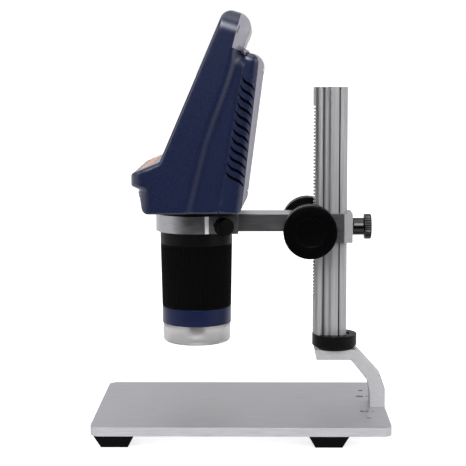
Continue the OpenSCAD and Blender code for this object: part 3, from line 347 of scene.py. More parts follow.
# post's grooves lie within belowX: painted shade from the lead on, fading out over fadeY, and painted shade
# again in a slot
postGroovePaintedShade = {"belowX": 7.96, "fadeY": (56.4, 58.8), "lead": 0.3, "slotY": 67.4, "slotHalf": 0.9,
              "dark": (0.92, 0.0), "hex": "#0a0a0b"}
finishRows = [
    # maker, name, hexes, roughness; a metal's grain, stretch and bump or a plastic's grain, bump and sheen
    # lightly blasted cap: pale grey, broad highlights
    (anodisedAluminium, "blastedAluminium", ("#8e8e91", "#98989a"), (0.56, 0.64), 0.8, (1, 1, 1), 0.15),
    # post: drawn metal with faint lines up its length, and painted shade in its grooves and slot
    (paintedGrooveShadeAluminium, "extrudedAluminium", ("#8a8a8c", "#9d9d9f"), (0.54, 0.64), 0.9, (1, 1, 0.02), 0.2,
     postGroovePaintedShade),
    # brushed arm and block: darker satin with fine lines along the bar
    (anodisedAluminium, "brushedAluminium", ("#6d6d70", "#7d7d80"), (0.28, 0.36), 0.7, (1, 0.04, 1), 0.2),
    # cast bracket: paler and a little uneven
    (anodisedAluminium, "castAluminium", ("#9d9d9f", "#aaaaac"), (0.54, 0.64), 1.4, (1, 1, 1), 0.3),
    # plate: long fine brush lines along its length
    (anodisedAluminium, "brushedPlate", ("#97979b", "#aaaaae"), (0.44, 0.56), 0.5, (1, 0.03, 1), 0.2),
    # ring: lines that run round it, so it fades from light to dark along its curve, and a painted highlight
    # on its chamfer
    (paintedHighlightStripAluminium, "turnedAluminium", ("#7c7c7f", "#8f8f93"), (0.28, 0.38), 0.5, (0.06, 0.06, 1), 0.2,
     paintedHighlightStrip),
    # head's shells: navy satin with a soft sheen, and the nose's ring a little glossier
    (mouldedPlastic, "navyPlastic", ("#111934", "#151d3a"), (0.24, 0.29), 0.35, 0.03, 0.42),
    (mouldedPlastic, "navyGloss", ("#0e1636", "#11193b"), (0.32, 0.38), 2.0, 0.03, 0.12),
    # covers: light warm grey, matt
    (mouldedPlastic, "greyPlastic", ("#898790", "#908e98"), (0.42, 0.5)),
    # black mouldings: deep black with tight edge lines, from plain to glossy
    (mouldedPlastic, "blackPlastic", ("#020203", "#040405"), (0.42, 0.5), 0.9, 0.08, 0.07),
    (mouldedPlastic, "knobPlastic", ("#020203", "#030304"), (0.3, 0.38), 1.2, 0.05, 0.04),
    (mouldedPlastic, "glossBlackPlastic", ("#010102", "#020203"), (0.16, 0.2), 1.2, 0.03, 0.3),
    # painted shade: a dull black sheet behind the slots stands in for the dark hollow inside, and print
    # behind the window
    (mouldedPlastic, "ventBlack", ("#010102", "#030304"), (0.8, 0.9), 0.9, 0.12, 0.05),
    (mouldedPlastic, "blackInk", ("#040405", "#060607"), (0.3, 0.4), 2.0, 0.0),
    # ribbed grip and feet: matt rubber that hardly shines
    (mouldedPlastic, "gripRubber", ("#030304", "#050506"), (0.6, 0.72), 1.2, 0.2, 0.03),
    (mouldedPlastic, "footRubber", ("#040405", "#070708"), (0.6, 0.75), 1.5, 0.25, 0.04),
    # dyed barrel: the dye takes the metal's shine, so it reads as matt black
    (mouldedPlastic, "blackAnodised", ("#030304", "#050506"), (0.42, 0.5), 0.8, 0.05, 0.07),
    # screws and sockets: bright grey, and bushes: warm yellow
    (anodisedAluminium, "zincSteel", ("#8c8c90", "#a5a5a9"), (0.28, 0.4), 0.6, (1, 1, 1), 0.1),
    (anodisedAluminium, "brass", ("#b08d45", "#c29e54"), (0.3, 0.42), 0.6, (1, 1, 1), 0.1),
    # milky pad, green lacquer of the boards and soft orange keys
    (mouldedPlastic, "nylon", ("#dcdad2", "#e6e4dd"), (0.5, 0.6)),
    (mouldedPlastic, "circuitBoard", ("#0f3d22", "#15502d"), (0.35, 0.45), 2.0),
    (mouldedPlastic, "orangePlastic", ("#e59c72", "#eaa57d"), (0.42, 0.5)),
    # window: clear and polished, over the dark unlit panel
    (clearPlastic, "windowAcrylic", "#f4f6f8", 0.03, 1.0, 1.22),
    (mouldedPlastic, "displayPanel", ("#08090c", "#0b0d11"), (0.3, 0.34), 6.0, 0.0, 0.12),
    # lenses: coated, dark with a sharp shine
    (mouldedPlastic, "opticalGlass", ("#26303c", "#2c3846"), (0.04, 0.06), 6.0, 0.0),
    # nose: frosted all through, so the dark lens tube shows as a soft shade
    (clearPlastic, "frostedAcrylic", "#dad8d9", 0.38, 0.88, 1.38),
    # lamps: pale yellow
    (mouldedPlastic, "lampResin", ("#e6e2c8", "#efecd6"), (0.25, 0.3)),
]
finishes = {name: maker(name, *values) for maker, name, *values in finishRows}
print("finishes ready:", len(finishes))

nodeFinish = {
    "blastedAluminium": ["carriage_cap"],
    "brushedPlate": ["base_plate"],
    "extrudedAluminium": ["post", "rack"],
    "brushedAluminium": ["carriage_block", "arm_bar"],
    "turnedAluminium": ["clamp_ring"],
    "castAluminium": ["bracket"],
    "navyPlastic": ["front_housing", "rear_housing", "nose_ring"],
    "greyPlastic": ["rear_cover", "top_cover"],
    "blackPlastic": ["post_collar", "knob_right", "knob_left", "lock_screw", "clamp_screw",
                     "dimmer_wheel", "dimmer_body", "power_inlet"],
    "gripRubber": ["focus_ring"],
    "footRubber": ["feet"],
    "blackAnodised": ["barrel_tube", "lens_carrier"],
    "zincSteel": ["foot_screws", "bracket_screws", "post_screw", "cap_screws", "arm_screws", "ring_screws",
                  "pinion_shaft", "knob_set_screws", "barrel_screws", "board_screws", "case_screws",
                  "usb_port", "card_slot"],
    "brass": ["pinion_bushes", "lock_pad"],
    "nylon": ["clamp_pad"],
    "circuitBoard": ["led_board", "sensor_board", "main_board", "key_board", "port_board"],
    "orangePlastic": ["key_1", "key_2", "key_3", "key_4", "key_5"],
    "displayPanel": ["display_window", "lcd_panel"],
    "opticalGlass": ["objective_lenses"],
    "frostedAcrylic": ["diffuser"],
    "lampResin": ["leds"],
}
for finishName, nodeNames in nodeFinish.items():
    for nodeName in nodeNames:
        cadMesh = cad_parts[nodeName].data
        cadMesh.materials.clear()
        cadMesh.materials.append(finishes[finishName])
print("carried-over nodes finished:", sum(len(n) for n in nodeFinish.values()))


# Numpy helpers, in millimetres: loops are counter-clockwise arrays of points, faces are index tuples
def smooth(t):      # 0 to 1 with level ends
    t = np.clip(t, 0, 1)
    return t * t * (3 - 2 * t)


def roundCorners(corners, steps=8):
    # each corner (a, b, radius) becomes an arc that touches its two sides
    corners = np.array(corners, float)
    p, r = corners[:, :2], corners[:, 2:]
    back, on = unit(np.roll(p, 1, 0) - p), unit(np.roll(p, -1, 0) - p)
    half = np.arccos(np.clip((back * on).sum(1), -1, 1))[:, None] / 2
    centre = p + unit(back + on) * r / np.sin(half)
    a, b = p + back * r / np.tan(half) - centre, p + on * r / np.tan(half) - centre
    start = np.arctan2(a[:, 1], a[:, 0])
    turn = (np.arctan2(b[:, 1], b[:, 0]) - start + pi) % (2 * pi) - pi
    angle = start[:, None] + turn[:, None] * np.linspace(0, 1, steps + 1)
    return (centre[:, None] + r[:, None] * np.stack([np.cos(angle), np.sin(angle)], -1)).reshape(-1, 2)


def fillSides(loop, gap):      # adds points so that no side of a loop is longer than gap
    ahead = np.roll(loop, -1, 0) - loop
    length = np.linalg.norm(ahead, axis=1)
    loop, ahead, length = loop[length > 1e-6], ahead[length > 1e-6], length[length > 1e-6]
    count = np.maximum(np.ceil(length / gap).astype(int), 1)
    first = np.repeat(np.cumsum(count) - count, count)
    share = (np.arange(count.sum()) - first) / np.repeat(count, count)
    return np.repeat(loop, count, 0) + share[:, None] * np.repeat(ahead, count, 0)


def fillLine(line, gap):      # adds points so that no part of an open line is longer than gap
    parts = [np.linspace(a, b, max(int(np.ceil(np.linalg.norm(b - a) / gap)), 1), endpoint=False)
             for a, b in zip(line[:-1], line[1:])]
    return np.concatenate(parts + [line[-1:]])


def toLeft(ways):      # ways turned left by a quarter turn
    return np.stack([-ways[:, 1], ways[:, 0]], 1)


def inwardOf(loop):      # inward unit normal at each point of a loop
    side = unit(np.roll(loop, -1, 0) - loop)
    return toLeft(unit(side + np.roll(side, 1, 0)))


def shrunk(loop, d):      # the loop moved inwards by d, mitred at its corners
    side = unit(np.roll(loop, -1, 0) - loop)
    normal, last = toLeft(side), toLeft(np.roll(side, 1, 0))
    return loop + d * (normal + last) / (1 + (normal * last).sum(1, keepdims=True))


def beside(line, d):      # open line moved sideways by d, mitred
    normal = toLeft(unit(np.diff(line, axis=0)))
    normal = np.concatenate([normal[:1], normal, normal[-1:]])
    mitre = (normal[:-1] + normal[1:]) / (1 + (normal[:-1] * normal[1:]).sum(1, keepdims=True))
    return line + d * mitre


def lineDistance(points, line, closed=False):      # distance from each point to a polyline
    a = line if closed else line[:-1]
    ab = (np.roll(line, -1, 0) if closed else line[1:]) - a
    ap = points[:, None] - a[None]
    share = np.clip((ap * ab).sum(2) / np.maximum((ab * ab).sum(1), 1e-12), 0, 1)
    return np.sqrt(((ap - share[..., None] * ab) ** 2).sum(2).min(1))


def insideLoop(points, loop):      # counts the loop's sides that a ray from each point crosses
    a, b = loop, np.roll(loop, -1, 0)
    x, y = points[:, :1], points[:, 1:]
    rise = np.where(np.abs(b[:, 1] - a[:, 1]) < 1e-12, 1e-12, b[:, 1] - a[:, 1])
    crosses = ((a[:, 1] > y) != (b[:, 1] > y)) & (x < (b[:, 0] - a[:, 0]) * (y - a[:, 1]) / rise + a[:, 0])
    return crosses.sum(1) % 2 == 1


def barLoop(centre, w, h, r, steps=6):      # rectangle with round corners
    cx, cy = centre
    return roundCorners([(cx - w / 2, cy - h / 2, r), (cx + w / 2, cy - h / 2, r),
                         (cx + w / 2, cy + h / 2, r), (cx - w / 2, cy + h / 2, r)], steps)


def discLoop(centre, r, n=32):
    t = np.arange(n) * 2 * pi / n
    return np.stack([centre[0] + r * np.cos(t), centre[1] + r * np.sin(t)], 1)


def triangulate(free, loops, lines=(), holes=()):
    # triangles of free points, loops and open lines inside the first loop but in no hole, and their middles
    points, edges, count = [free], [], len(free)
    rings = [(loop, True) for loop in loops]
    for line, closed in rings[:1] + [(line, False) for line in lines] + rings[1:]:
        n = len(line)
        index = np.arange(n) + count
        edges += np.stack([index, np.roll(index, -1)], 1)[:n if closed else n - 1].tolist()
        points.append(line)
        count += n
    found = delaunay_2d_cdt([Vector(p) for p in np.concatenate(points).tolist()], edges, [], 0, 1e-5)
    flat, tri = np.array([tuple(v) for v in found[0]]), np.array([tuple(f) for f in found[2]])
    middle = flat[tri].mean(1)
    keep = insideLoop(middle, loops[0])
    for loop in holes:
        keep &= ~insideLoop(middle, loop)
    return flat, tri[keep], middle[keep]


def turnFaces(flat, tri, up):      # triangles in counter-clockwise order if up, clockwise if not
    ab, ac = flat[tri[:, 1]] - flat[tri[:, 0]], flat[tri[:, 2]] - flat[tri[:, 0]]
    isUp = ab[:, 0] * ac[:, 1] - ab[:, 1] * ac[:, 0] > 0
    return np.where((isUp == up)[:, None], tri, tri[:, ::-1])


def splitQuads(quads):
    return np.concatenate([quads[:, [0, 1, 2]], quads[:, [0, 2, 3]]])


def sinkOf(points, pockets):      # depth at each point of pockets given as (loop, depth)
    depth = np.zeros(len(points))
    for loop, sink in pockets:
        depth[insideLoop(points, loop)] = sink
    return depth


def rimEdges(faces):      # directed edges that only one face of the set has
    edges = np.stack([faces, np.roll(faces, -1, 1)], 2).reshape(-1, 2)
    _, index, count = np.unique(np.sort(edges, 1), axis=0, return_index=True, return_counts=True)
    return edges[index[count == 1]]


def rimWalls(rim, shift):      # faces from each rim edge to the points that come shift places later
    a, b = rim[:, 0], rim[:, 1]
    return np.concatenate([np.stack([a, b, b + shift], 1), np.stack([a, b + shift, a + shift], 1)])


def fullFaces(faces):      # which faces have three different points
    return (faces[:, 0] != faces[:, 1]) & (faces[:, 1] != faces[:, 2]) & (faces[:, 2] != faces[:, 0])


def mergePoints(verts, faces, digits=4):      # joins points that agree to digits, drops empty faces
    _, first, back = np.unique(np.round(verts, digits), axis=0, return_index=True, return_inverse=True)
    faces = back.reshape(-1)[faces]
    return verts[first], faces[fullFaces(faces)]


def usedPoints(verts, faces):      # drops the points that no face has
    used, faces = np.unique(faces, return_inverse=True)
    return verts[used], faces.reshape(-1, 3)


def pointNormals(verts, faces):      # area-weighted normals of a triangle mesh
    a, b, c = (verts[faces[:, i]] for i in range(3))
    flat = np.cross(b - a, c - a)
    total = np.zeros_like(verts)
    for i in range(3):
        np.add.at(total, faces[:, i], flat)
    return total / np.maximum(np.linalg.norm(total, axis=1, keepdims=True), 1e-12)


def shadeSmooth(mesh, sharp=32):      # smooth all over, but edges above the sharp angle in degrees stay crisp
    mesh.polygons.foreach_set("use_smooth", np.ones(len(mesh.polygons), bool))
    mesh.set_sharp_from_angle(angle=np.radians(sharp))


def makePiece(name, verts, faces, finishName, body, nodes, slotName):
    # a mesh of points in millimetres in the row frame, on its body, for the CAD nodes that it replaces
    mesh = bpy.data.meshes.new(name)
    mesh.from_pydata((verts * mm).tolist(), [], [tuple(f) for f in faces])
    mesh.validate()
    shadeSmooth(mesh)
    mesh.materials.append(finishes[finishName])
    mesh.update()
    piece = bpy.data.objects.new(name, mesh)
    bpy.context.scene.collection.objects.link(piece)
    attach(piece, body)
    if nodes:
        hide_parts(*nodes)
    return piece


# Head: four moulded shells cut from one surface; y runs from the barrel's axis, z from the head's underside
keys = {"width": 8.5, "length": 11.5, "pitch": 18, "count": 5, "rise": 0.12, "alongLedge": -10.6,
        "depth": 3.0, "round": 1.5, "gap": 0.4, "flat": 0.05}
keyPlaces = (np.arange(keys["count"]) - (keys["count"] - 1) / 2) * keys["pitch"]
window = {"width": 110, "height": 75.5, "middle": 56.75, "thick": 1.2, "round": 3, "gap": 0.1,
          "edge": 0.25, "border": 7.0, "borderTop": 8.6, "sightRound": 1.0, "inkGap": 0.03, "inkThick": 0.15}
vents = {"count": 12, "step": 5.59, "width": 2.2, "depth": 2.0, "first": 16.9, "fall": 7.7, "lift": 1.9,
         "fromRidge": 0.45, "toCover": 0.4, "bow": 0.75, "sheet": (0.5, 0.02)}
mark = {"from": 2, "width": 0.8, "low": 12, "high": 7, "depth": 1.0}      # short slit in the slab's side
# openings in the left side, each with its middle's height, its width and its height
ports = {"y": -4, "gap": 0.4, "holes": ((12, 8.8, 3.0), (24, 8.4, 3.2), (34.5, 12.4, 2.4))}
dimmerSlot = {"centre": (37.5, 11.3), "width": 3.8, "height": 8.6, "round": 0.5}
# blind screw holes: x, height or distance below the top of the bulge or slab, radius, depth
caseScrews = {"x": 48, "low": 14, "fromTop": 12, "r": 2.9, "depth": 1.9}
coverScrews = {"x": 50, "fromTop": 9, "r": 2.5, "depth": 1.9}
head = {
    "width": 120, "waist": 2.6, "wall": 2.2, "seamGap": 0.02,
    "lean": 23.5, "slabHeight": 107.5, "slabDepth": 21, "shellDepth": 11, "topRise": 2.2, "seamSlope": 0.15,
    "ledgeSlope": 22.5, "ledgeLength": 20.6,
    "faceFoot": (-20.9, 34.1), "noseHeight": 8.6, "chinSetback": 4.83, "chinDrop": 1.4,
    "baseFront": -32.4, "baseRear": 30.4, "heel": (36.1, 10.6),
    "bulgeRear": 48.5, "bulgeTop": 104.1, "bulgeFall": 2.9, "notchRise": 1,
    "edgeRound": 2.4, "lobeRound": 5.0, "slabCorner": 14, "neckRound": 10, "noseRound": 9, "rearRound": 10,
    "edgeRun": 8, "edgeLow": 14, "edgeUnder": 0.65,
    # start and length of a smooth change
    "edgeSlab": (70, 25), "noseRun": (15.2, 3.6), "grooveRun": (5, 5), "shoulderRun": (1, 7),
    # flute's run above and below its bend, how far it moves ahead below, and the bend's heights
    "fluteFoot": -0.8, "fluteRun": (6.5, 8), "fluteAhead": 5.75, "fluteTurn": (40, 98),
    "ridgeFoot": 16.9, "ridgeTop": (34.4, 0.4),      # y, and distance below the bulge's top
    "grooveDepth": 0.5, "grooveHalf": 1.1, "shoulder": 9.5,
}
skin = {      # how finely the head's surface is divided
    "side": 2.4, "seam": 1.9, "fineSide": 2.0, "grid": (1.9, 1.7), "gridEdge": 0.5, "columns": 25,
    "flatStep": 8.0, "flatHalf": 52, "flatFrom": 4, "flatTo": 3, "flatEdge": 2, "flatRim": 1.5,
    "ringAngles": [14, 27, 40, 54, 70, 90], "besideGroove": (-2.8, -1.9, -1.1, -0.55, 0.55, 1.1, 1.9, 2.8),
}
lean = np.radians(head["lean"])
intoSlab = np.array([np.cos(lean), -np.sin(lean)])
upSlab = np.array([np.sin(lean), np.cos(lean)])
faceFoot = np.array(head["faceFoot"])


def slabPoint(y, z):      # point y deep and z up the leaning display slab
    return faceFoot + y * intoSlab + z * upSlab


def slabPlace(p):      # depth into the slab and height along it of points (y, z)
    return (p - faceFoot) @ intoSlab, (p - faceFoot) @ upSlab


ledgeAngle = np.radians(head["ledgeSlope"])
alongLedge = np.array([np.cos(ledgeAngle), np.sin(ledgeAngle)])
outOfLedge = np.array([-np.sin(ledgeAngle), np.cos(ledgeAngle)])
noseTip = faceFoot - head["ledgeLength"] * alongLedge
chin = np.array([noseTip[0] + head["chinSetback"], noseTip[1] - head["noseHeight"] - head["chinDrop"]])
heel = np.array(head["heel"])
slabFoot = (head["bulgeTop"] + head["notchRise"] - slabPoint(head["slabDepth"], 0)[1]) / np.cos(lean)
notch = slabPoint(head["slabDepth"], slabFoot)


def rearY(z):
    return heel[0] + (head["bulgeRear"] - heel[0]) * (z - heel[1]) / (head["bulgeTop"] - heel[1])


bulgeCorner = head["bulgeTop"] - head["bulgeFall"]
headCorners = [      # y, z and radius, from the face's foot down the front, under the base and up the rear
    (*faceFoot, 3), (*noseTip, 3.2), (noseTip[0], noseTip[1] - head["noseHeight"], 2.8), (*chin, 3),
    (head["baseFront"], 0, 4.5), (head["baseRear"], 0, 2.5), (*heel, 4), (rearY(bulgeCorner), bulgeCorner, 9),
    (*notch, 2), (*slabPoint(head["slabDepth"], head["slabHeight"] + head["topRise"]), 10),
    (*slabPoint(0, head["slabHeight"]), 7.5)]
headLoop = fillSides(roundCorners(headCorners), skin["side"])
underAxis = int(np.argmin(np.abs(headLoop[:, 1]) * 10 + np.abs(headLoop[:, 0])))
headLoop = np.roll(headLoop, -underAxis, 0)      # starts under the barrel's axis
ridgeLow = np.array([head["ridgeFoot"], 0.0])
ridgeHigh = np.array([head["ridgeTop"][0], head["bulgeTop"] - head["ridgeTop"][1]])


def seamPoint(z):      # seam between front shell and top cover, sloping a little towards the slab's rear
    return slabPoint(head["shellDepth"] + (head["slabHeight"] - z) * head["seamSlope"], z)


def ridgeY(z):
    return ridgeLow[0] + (ridgeHigh[0] - ridgeLow[0]) * z / ridgeHigh[1]


# the seams run on past the outline, so that they cut right through it
seamFoot, seamTop = seamPoint(slabFoot - 0.6), seamPoint(head["slabHeight"] + 20)
notchOut = notch + 12 * unit(np.array([1, 0.62]))
ridgeUnder = ridgeLow - [3.2, 20]
# the cover's front edge: from the heel up the rear, wider above, then round the upper corner
coverEdge = np.array([[28.6, -20], [32.4, 4.6], [34.2, 19.6], [37.5, 48.4], [43.05, 94.6], [43.35, 97.9],
                      [42.7, 100.4], [41.3, 102.4], [38.8, 105.0]])
headSeams = [      # front and rear shell, front shell and top cover, bulge and top cover, rear and cover
    np.array([ridgeUnder, ridgeLow, ridgeHigh]), np.array([ridgeHigh, seamFoot, seamTop]),
    np.array([ridgeHigh, notchOut]), coverEdge]
headZones = {      # loops round the part of the outline that each shell takes
    "front": np.array([[-90, -20], ridgeUnder, ridgeLow, ridgeHigh, seamFoot, seamTop,
                       slabPoint(-90, head["slabHeight"] + 60)]),
    "rear": np.array([ridgeUnder, *coverEdge, notchOut, ridgeHigh, ridgeLow]),
    "cover": np.array([[120, -20], [120, 112], notchOut, *coverEdge[::-1]]),
    "top": np.array([ridgeHigh, notchOut, slabPoint(60, head["slabHeight"] + 20), seamTop, seamFoot]),
}


def quarterDrop(d, r):      # how far a quarter round of radius r has fallen at distance d from its edge
    return r - np.sqrt(np.maximum(r * r - np.clip(r - d, 0, r) ** 2, 0))


def rising(v, limits):      # smooth rise from 0 at the first limit, over a run of the second
    return smooth((v - limits[0]) / limits[1])


def fluteY(y, z):      # distance behind the line from the flute's foot to the seam's foot
    return y - head["fluteFoot"] - (seamFoot[0] - head["fluteFoot"]) * z / seamFoot[1]


def edgeRadius(p):      # fillet of the side's edge: larger round the rear lobes, small under the base
    past = smooth(fluteY(p[:, 0], p[:, 1]) / head["edgeRun"])
    low = smooth(p[:, 1] / head["edgeLow"])
    slabUp = rising(slabPlace(p)[1], head["edgeSlab"])
    rise = np.maximum(past * low * (1 - slabUp * (p[:, 1] > head["bulgeTop"])), 0)
    under = head["edgeUnder"]
    return (head["edgeRound"] + (head["lobeRound"] - head["edgeRound"]) * rise) * (under + (1 - under) * low)


def halfWidth(p, d):
    # half of the head's width at point (y, z) that lies d inside the outline: the flat side, less the flute,
    # the ridge's groove and the root of the sum of squares of the shoulder and of the quarter rounds at the
    # edges; comparisons in brackets keep each of them to its own stretch
    y, z = p[:, 0], p[:, 1]
    flute, fromRidge = fluteY(y, z), y - ridgeY(z)
    turnLow, turnHigh = head["fluteTurn"]      # between these heights the flute bends back to the seam's foot
    straight = 1 - smooth((z - turnLow) / (turnHigh - turnLow))
    run = head["fluteRun"][0] + (head["fluteRun"][1] - head["fluteRun"][0]) * straight
    side = head["width"] / 2 - head["waist"] * smooth((flute + head["fluteAhead"] * straight) / run)
    groove = head["grooveDepth"] * np.exp(-(fromRidge / head["grooveHalf"]) ** 2)
    side = side - groove * rising(z, head["grooveRun"]) * (z < head["bulgeTop"] + 3)
    below = lineDistance(p, np.array([seamFoot - 30 * unit(ridgeHigh - seamFoot), seamFoot, ridgeHigh]))
    shoulder = quarterDrop(below, head["shoulder"]) * rising(flute, head["shoulderRun"])
    slabY, slabZ = slabPlace(p)
    noseShare = rising(z, head["noseRun"])
    frontY = chin[0] + (noseTip[0] - chin[0]) * noseShare
    frontR = head["neckRound"] + (head["noseRound"] - head["neckRound"]) * noseShare
    rearLean = np.arctan2(head["bulgeRear"] - heel[0], head["bulgeTop"] - heel[1])
    fromRear = (rearY(z) - y) * np.cos(rearLean)
    slabTop = head["slabHeight"] + head["topRise"] * slabY / head["slabDepth"]
    drops = [
        quarterDrop(d, edgeRadius(p)),
        quarterDrop(slabTop - slabZ, head["slabCorner"]),
        quarterDrop(y - frontY, frontR) * (y < 0),
        quarterDrop(fromRear, head["rearRound"]) * (z < head["bulgeTop"] + 2) * (y > 15),
        shoulder * (fromRidge < 0.5) * (z < seamFoot[1] + 0.4)]
    return side - np.sqrt(sum(drop ** 2 for drop in drops))


def ventLoop(k, n=12):      # a shallow S: its middle line runs down from the ridge to the cover, plus a sine
    top = head["bulgeTop"] - vents["first"] - k * vents["step"]
    startZ, endZ = top + vents["lift"], top - vents["fall"]
    a = np.array([ridgeY(startZ) + vents["fromRidge"], startZ])
    b = np.array([np.interp(endZ, coverEdge[:5, 1], coverEdge[:5, 0]) - vents["toCover"], endZ])
    across = unit(np.array([a[1] - b[1], b[0] - a[0]]))
    t = np.linspace(0, 1, n + 1)[:, None]
    middle = a + t * (b - a) - vents["bow"] * np.sin(2 * pi * t) * across
    half = np.array([0, vents["width"] / 2]) * np.sqrt(np.clip(1 - (2 * t - 1) ** 6, 0.1, 1))
    return np.concatenate([(middle + half)[::-1], middle - half])[::-1]


markLow, markHigh = head["slabHeight"] - mark["low"], head["slabHeight"] - mark["high"]
markNear = head["shellDepth"] + mark["from"]
markFar = markNear + mark["width"]
sidePockets = [(ventLoop(k), vents["depth"]) for k in range(vents["count"])]
sidePockets.append((np.array([slabPoint(markNear, markLow), slabPoint(markFar, markLow),
                              slabPoint(markFar, markHigh), slabPoint(markNear, markHigh)]), mark["depth"]))
portHoles = [barLoop((ports["y"], z), w + ports["gap"], h + ports["gap"], h / 2)
             for z, w, h in ports["holes"]]


def zoneOf(p):      # the shell that holds each point, or none just within a seam's gap
    names = np.full(len(p), "none", object)
    for name, loop in headZones.items():
        names[insideLoop(p, loop)] = name
    gap = np.min([lineDistance(p, seam) for seam in headSeams], 0) < head["seamGap"] * 0.98
    names[gap] = "none"
    return names


def headSide(sign):
    # one side's surface: triangles of the outline, rings inside it, a grid, the seams and the slots
    inward = inwardOf(headLoop)
    radius = edgeRadius(headLoop)[:, None]
    rings = [headLoop + inward * radius * (1 - np.cos(angle)) for angle in np.radians(skin["ringAngles"])]
    low, high = headLoop.min(0), headLoop.max(0)
    stepY, stepZ = skin["grid"]
    rowY, rowZ = np.meshgrid(np.arange(low[0], high[0], stepY), np.arange(low[1], high[1], stepZ))
    rowY[1::2] += stepY / 2
    grid = np.stack([rowY.ravel(), rowZ.ravel()], 1)
    away = lineDistance(grid, headLoop, True)
    grid = grid[insideLoop(grid, headLoop) & (away > edgeRadius(grid) + skin["gridEdge"])]
    fine = [fillSides(beside(headSeams[0][1:], d), skin["fineSide"])[:-1] for d in skin["besideGroove"]]
    gap = head["seamGap"]
    seams = [fillLine(beside(seam, d), skin["seam"]) for seam in headSeams for d in (-gap, gap)]
    holes = portHoles if sign < 0 else []
    loops = [headLoop] + [loop for loop, depth in sidePockets] + holes
    flat, faces, middle = triangulate(np.concatenate([grid] + rings + fine), loops, seams, holes)
    away = lineDistance(flat, headLoop, True)
    away[away < 1e-3] = 0
    verts = np.stack([sign * halfWidth(flat, away), flat[:, 0], flat[:, 1]], 1)
    faces = turnFaces(flat, faces, True)[:, ::sign]      # counter-clockwise in (y, z) faces +x
    corners = np.unique(faces)
    return verts, faces, zoneOf(middle), sinkOf(middle, sidePockets), flat[corners[away[corners] == 0]]


def loopOrder(points):      # points of the outline in their order along it
    a = headLoop
    ab = np.roll(a, -1, 0) - a
    length = np.linalg.norm(ab, axis=1)
    ap = points[:, None] - a[None]
    share = np.clip((ap * ab).sum(2) / (length ** 2), 0, 1)
    gap = ((ap - share[..., None] * ab) ** 2).sum(2)
    nearest = gap.argmin(1)
    u = (np.cumsum(length) - length)[nearest] + share[np.arange(len(points)), nearest] * length[nearest]
    return points[np.argsort(u)]


def neckY(z):
    return head["baseFront"] + (chin[0] - head["baseFront"]) * z / chin[1]


# flats across the head: distance of outline points from them, place of a height or length along them, and
# loops (loop, depth) of their holes, where the depth is 0, and pockets
headFlats = [
    # display's opening
    (lambda p: slabPlace(p)[0], lambda h: slabPoint(0, h),
     [(barLoop((0, window["middle"]), window["width"], window["height"], window["round"]), 0)]),
    # keys' openings in the ledge
    (lambda p: (p - faceFoot) @ outOfLedge, lambda h: faceFoot + h * alongLedge,
     [(barLoop((x, keys["alongLedge"]), keys["width"] + keys["gap"], keys["length"] + keys["gap"],
               keys["width"] / 2), 0) for x in keyPlaces]),
    # dimmer's slot in the neck
    (lambda p: p[:, 0] - neckY(p[:, 1]), lambda h: np.hstack([neckY(h), h]),
     [(barLoop(dimmerSlot["centre"], dimmerSlot["width"], dimmerSlot["height"], dimmerSlot["round"]), 0)]),
    # screw holes in the rear cover and in the slab's rear
    (lambda p: p[:, 0] - rearY(p[:, 1]), lambda h: np.hstack([rearY(h), h]),
     [(discLoop((x, z), caseScrews["r"]), caseScrews["depth"]) for x in (-caseScrews["x"], caseScrews["x"])
      for z in (caseScrews["low"], head["bulgeTop"] - caseScrews["fromTop"])]),
    (lambda p: slabPlace(p)[0] - head["slabDepth"], lambda h: slabPoint(head["slabDepth"], h),
     [(discLoop((x, head["slabHeight"] - coverScrews["fromTop"]), coverScrews["r"]), coverScrews["depth"])
      for x in (-coverScrews["x"], coverScrews["x"])]),
]


def longestRun(mask):      # first and last index of the longest run of points
    index = np.flatnonzero(mask)
    parts = np.split(index, np.flatnonzero(np.diff(index) > 1) + 1)
    return max(parts, key=len)[[0, -1]]


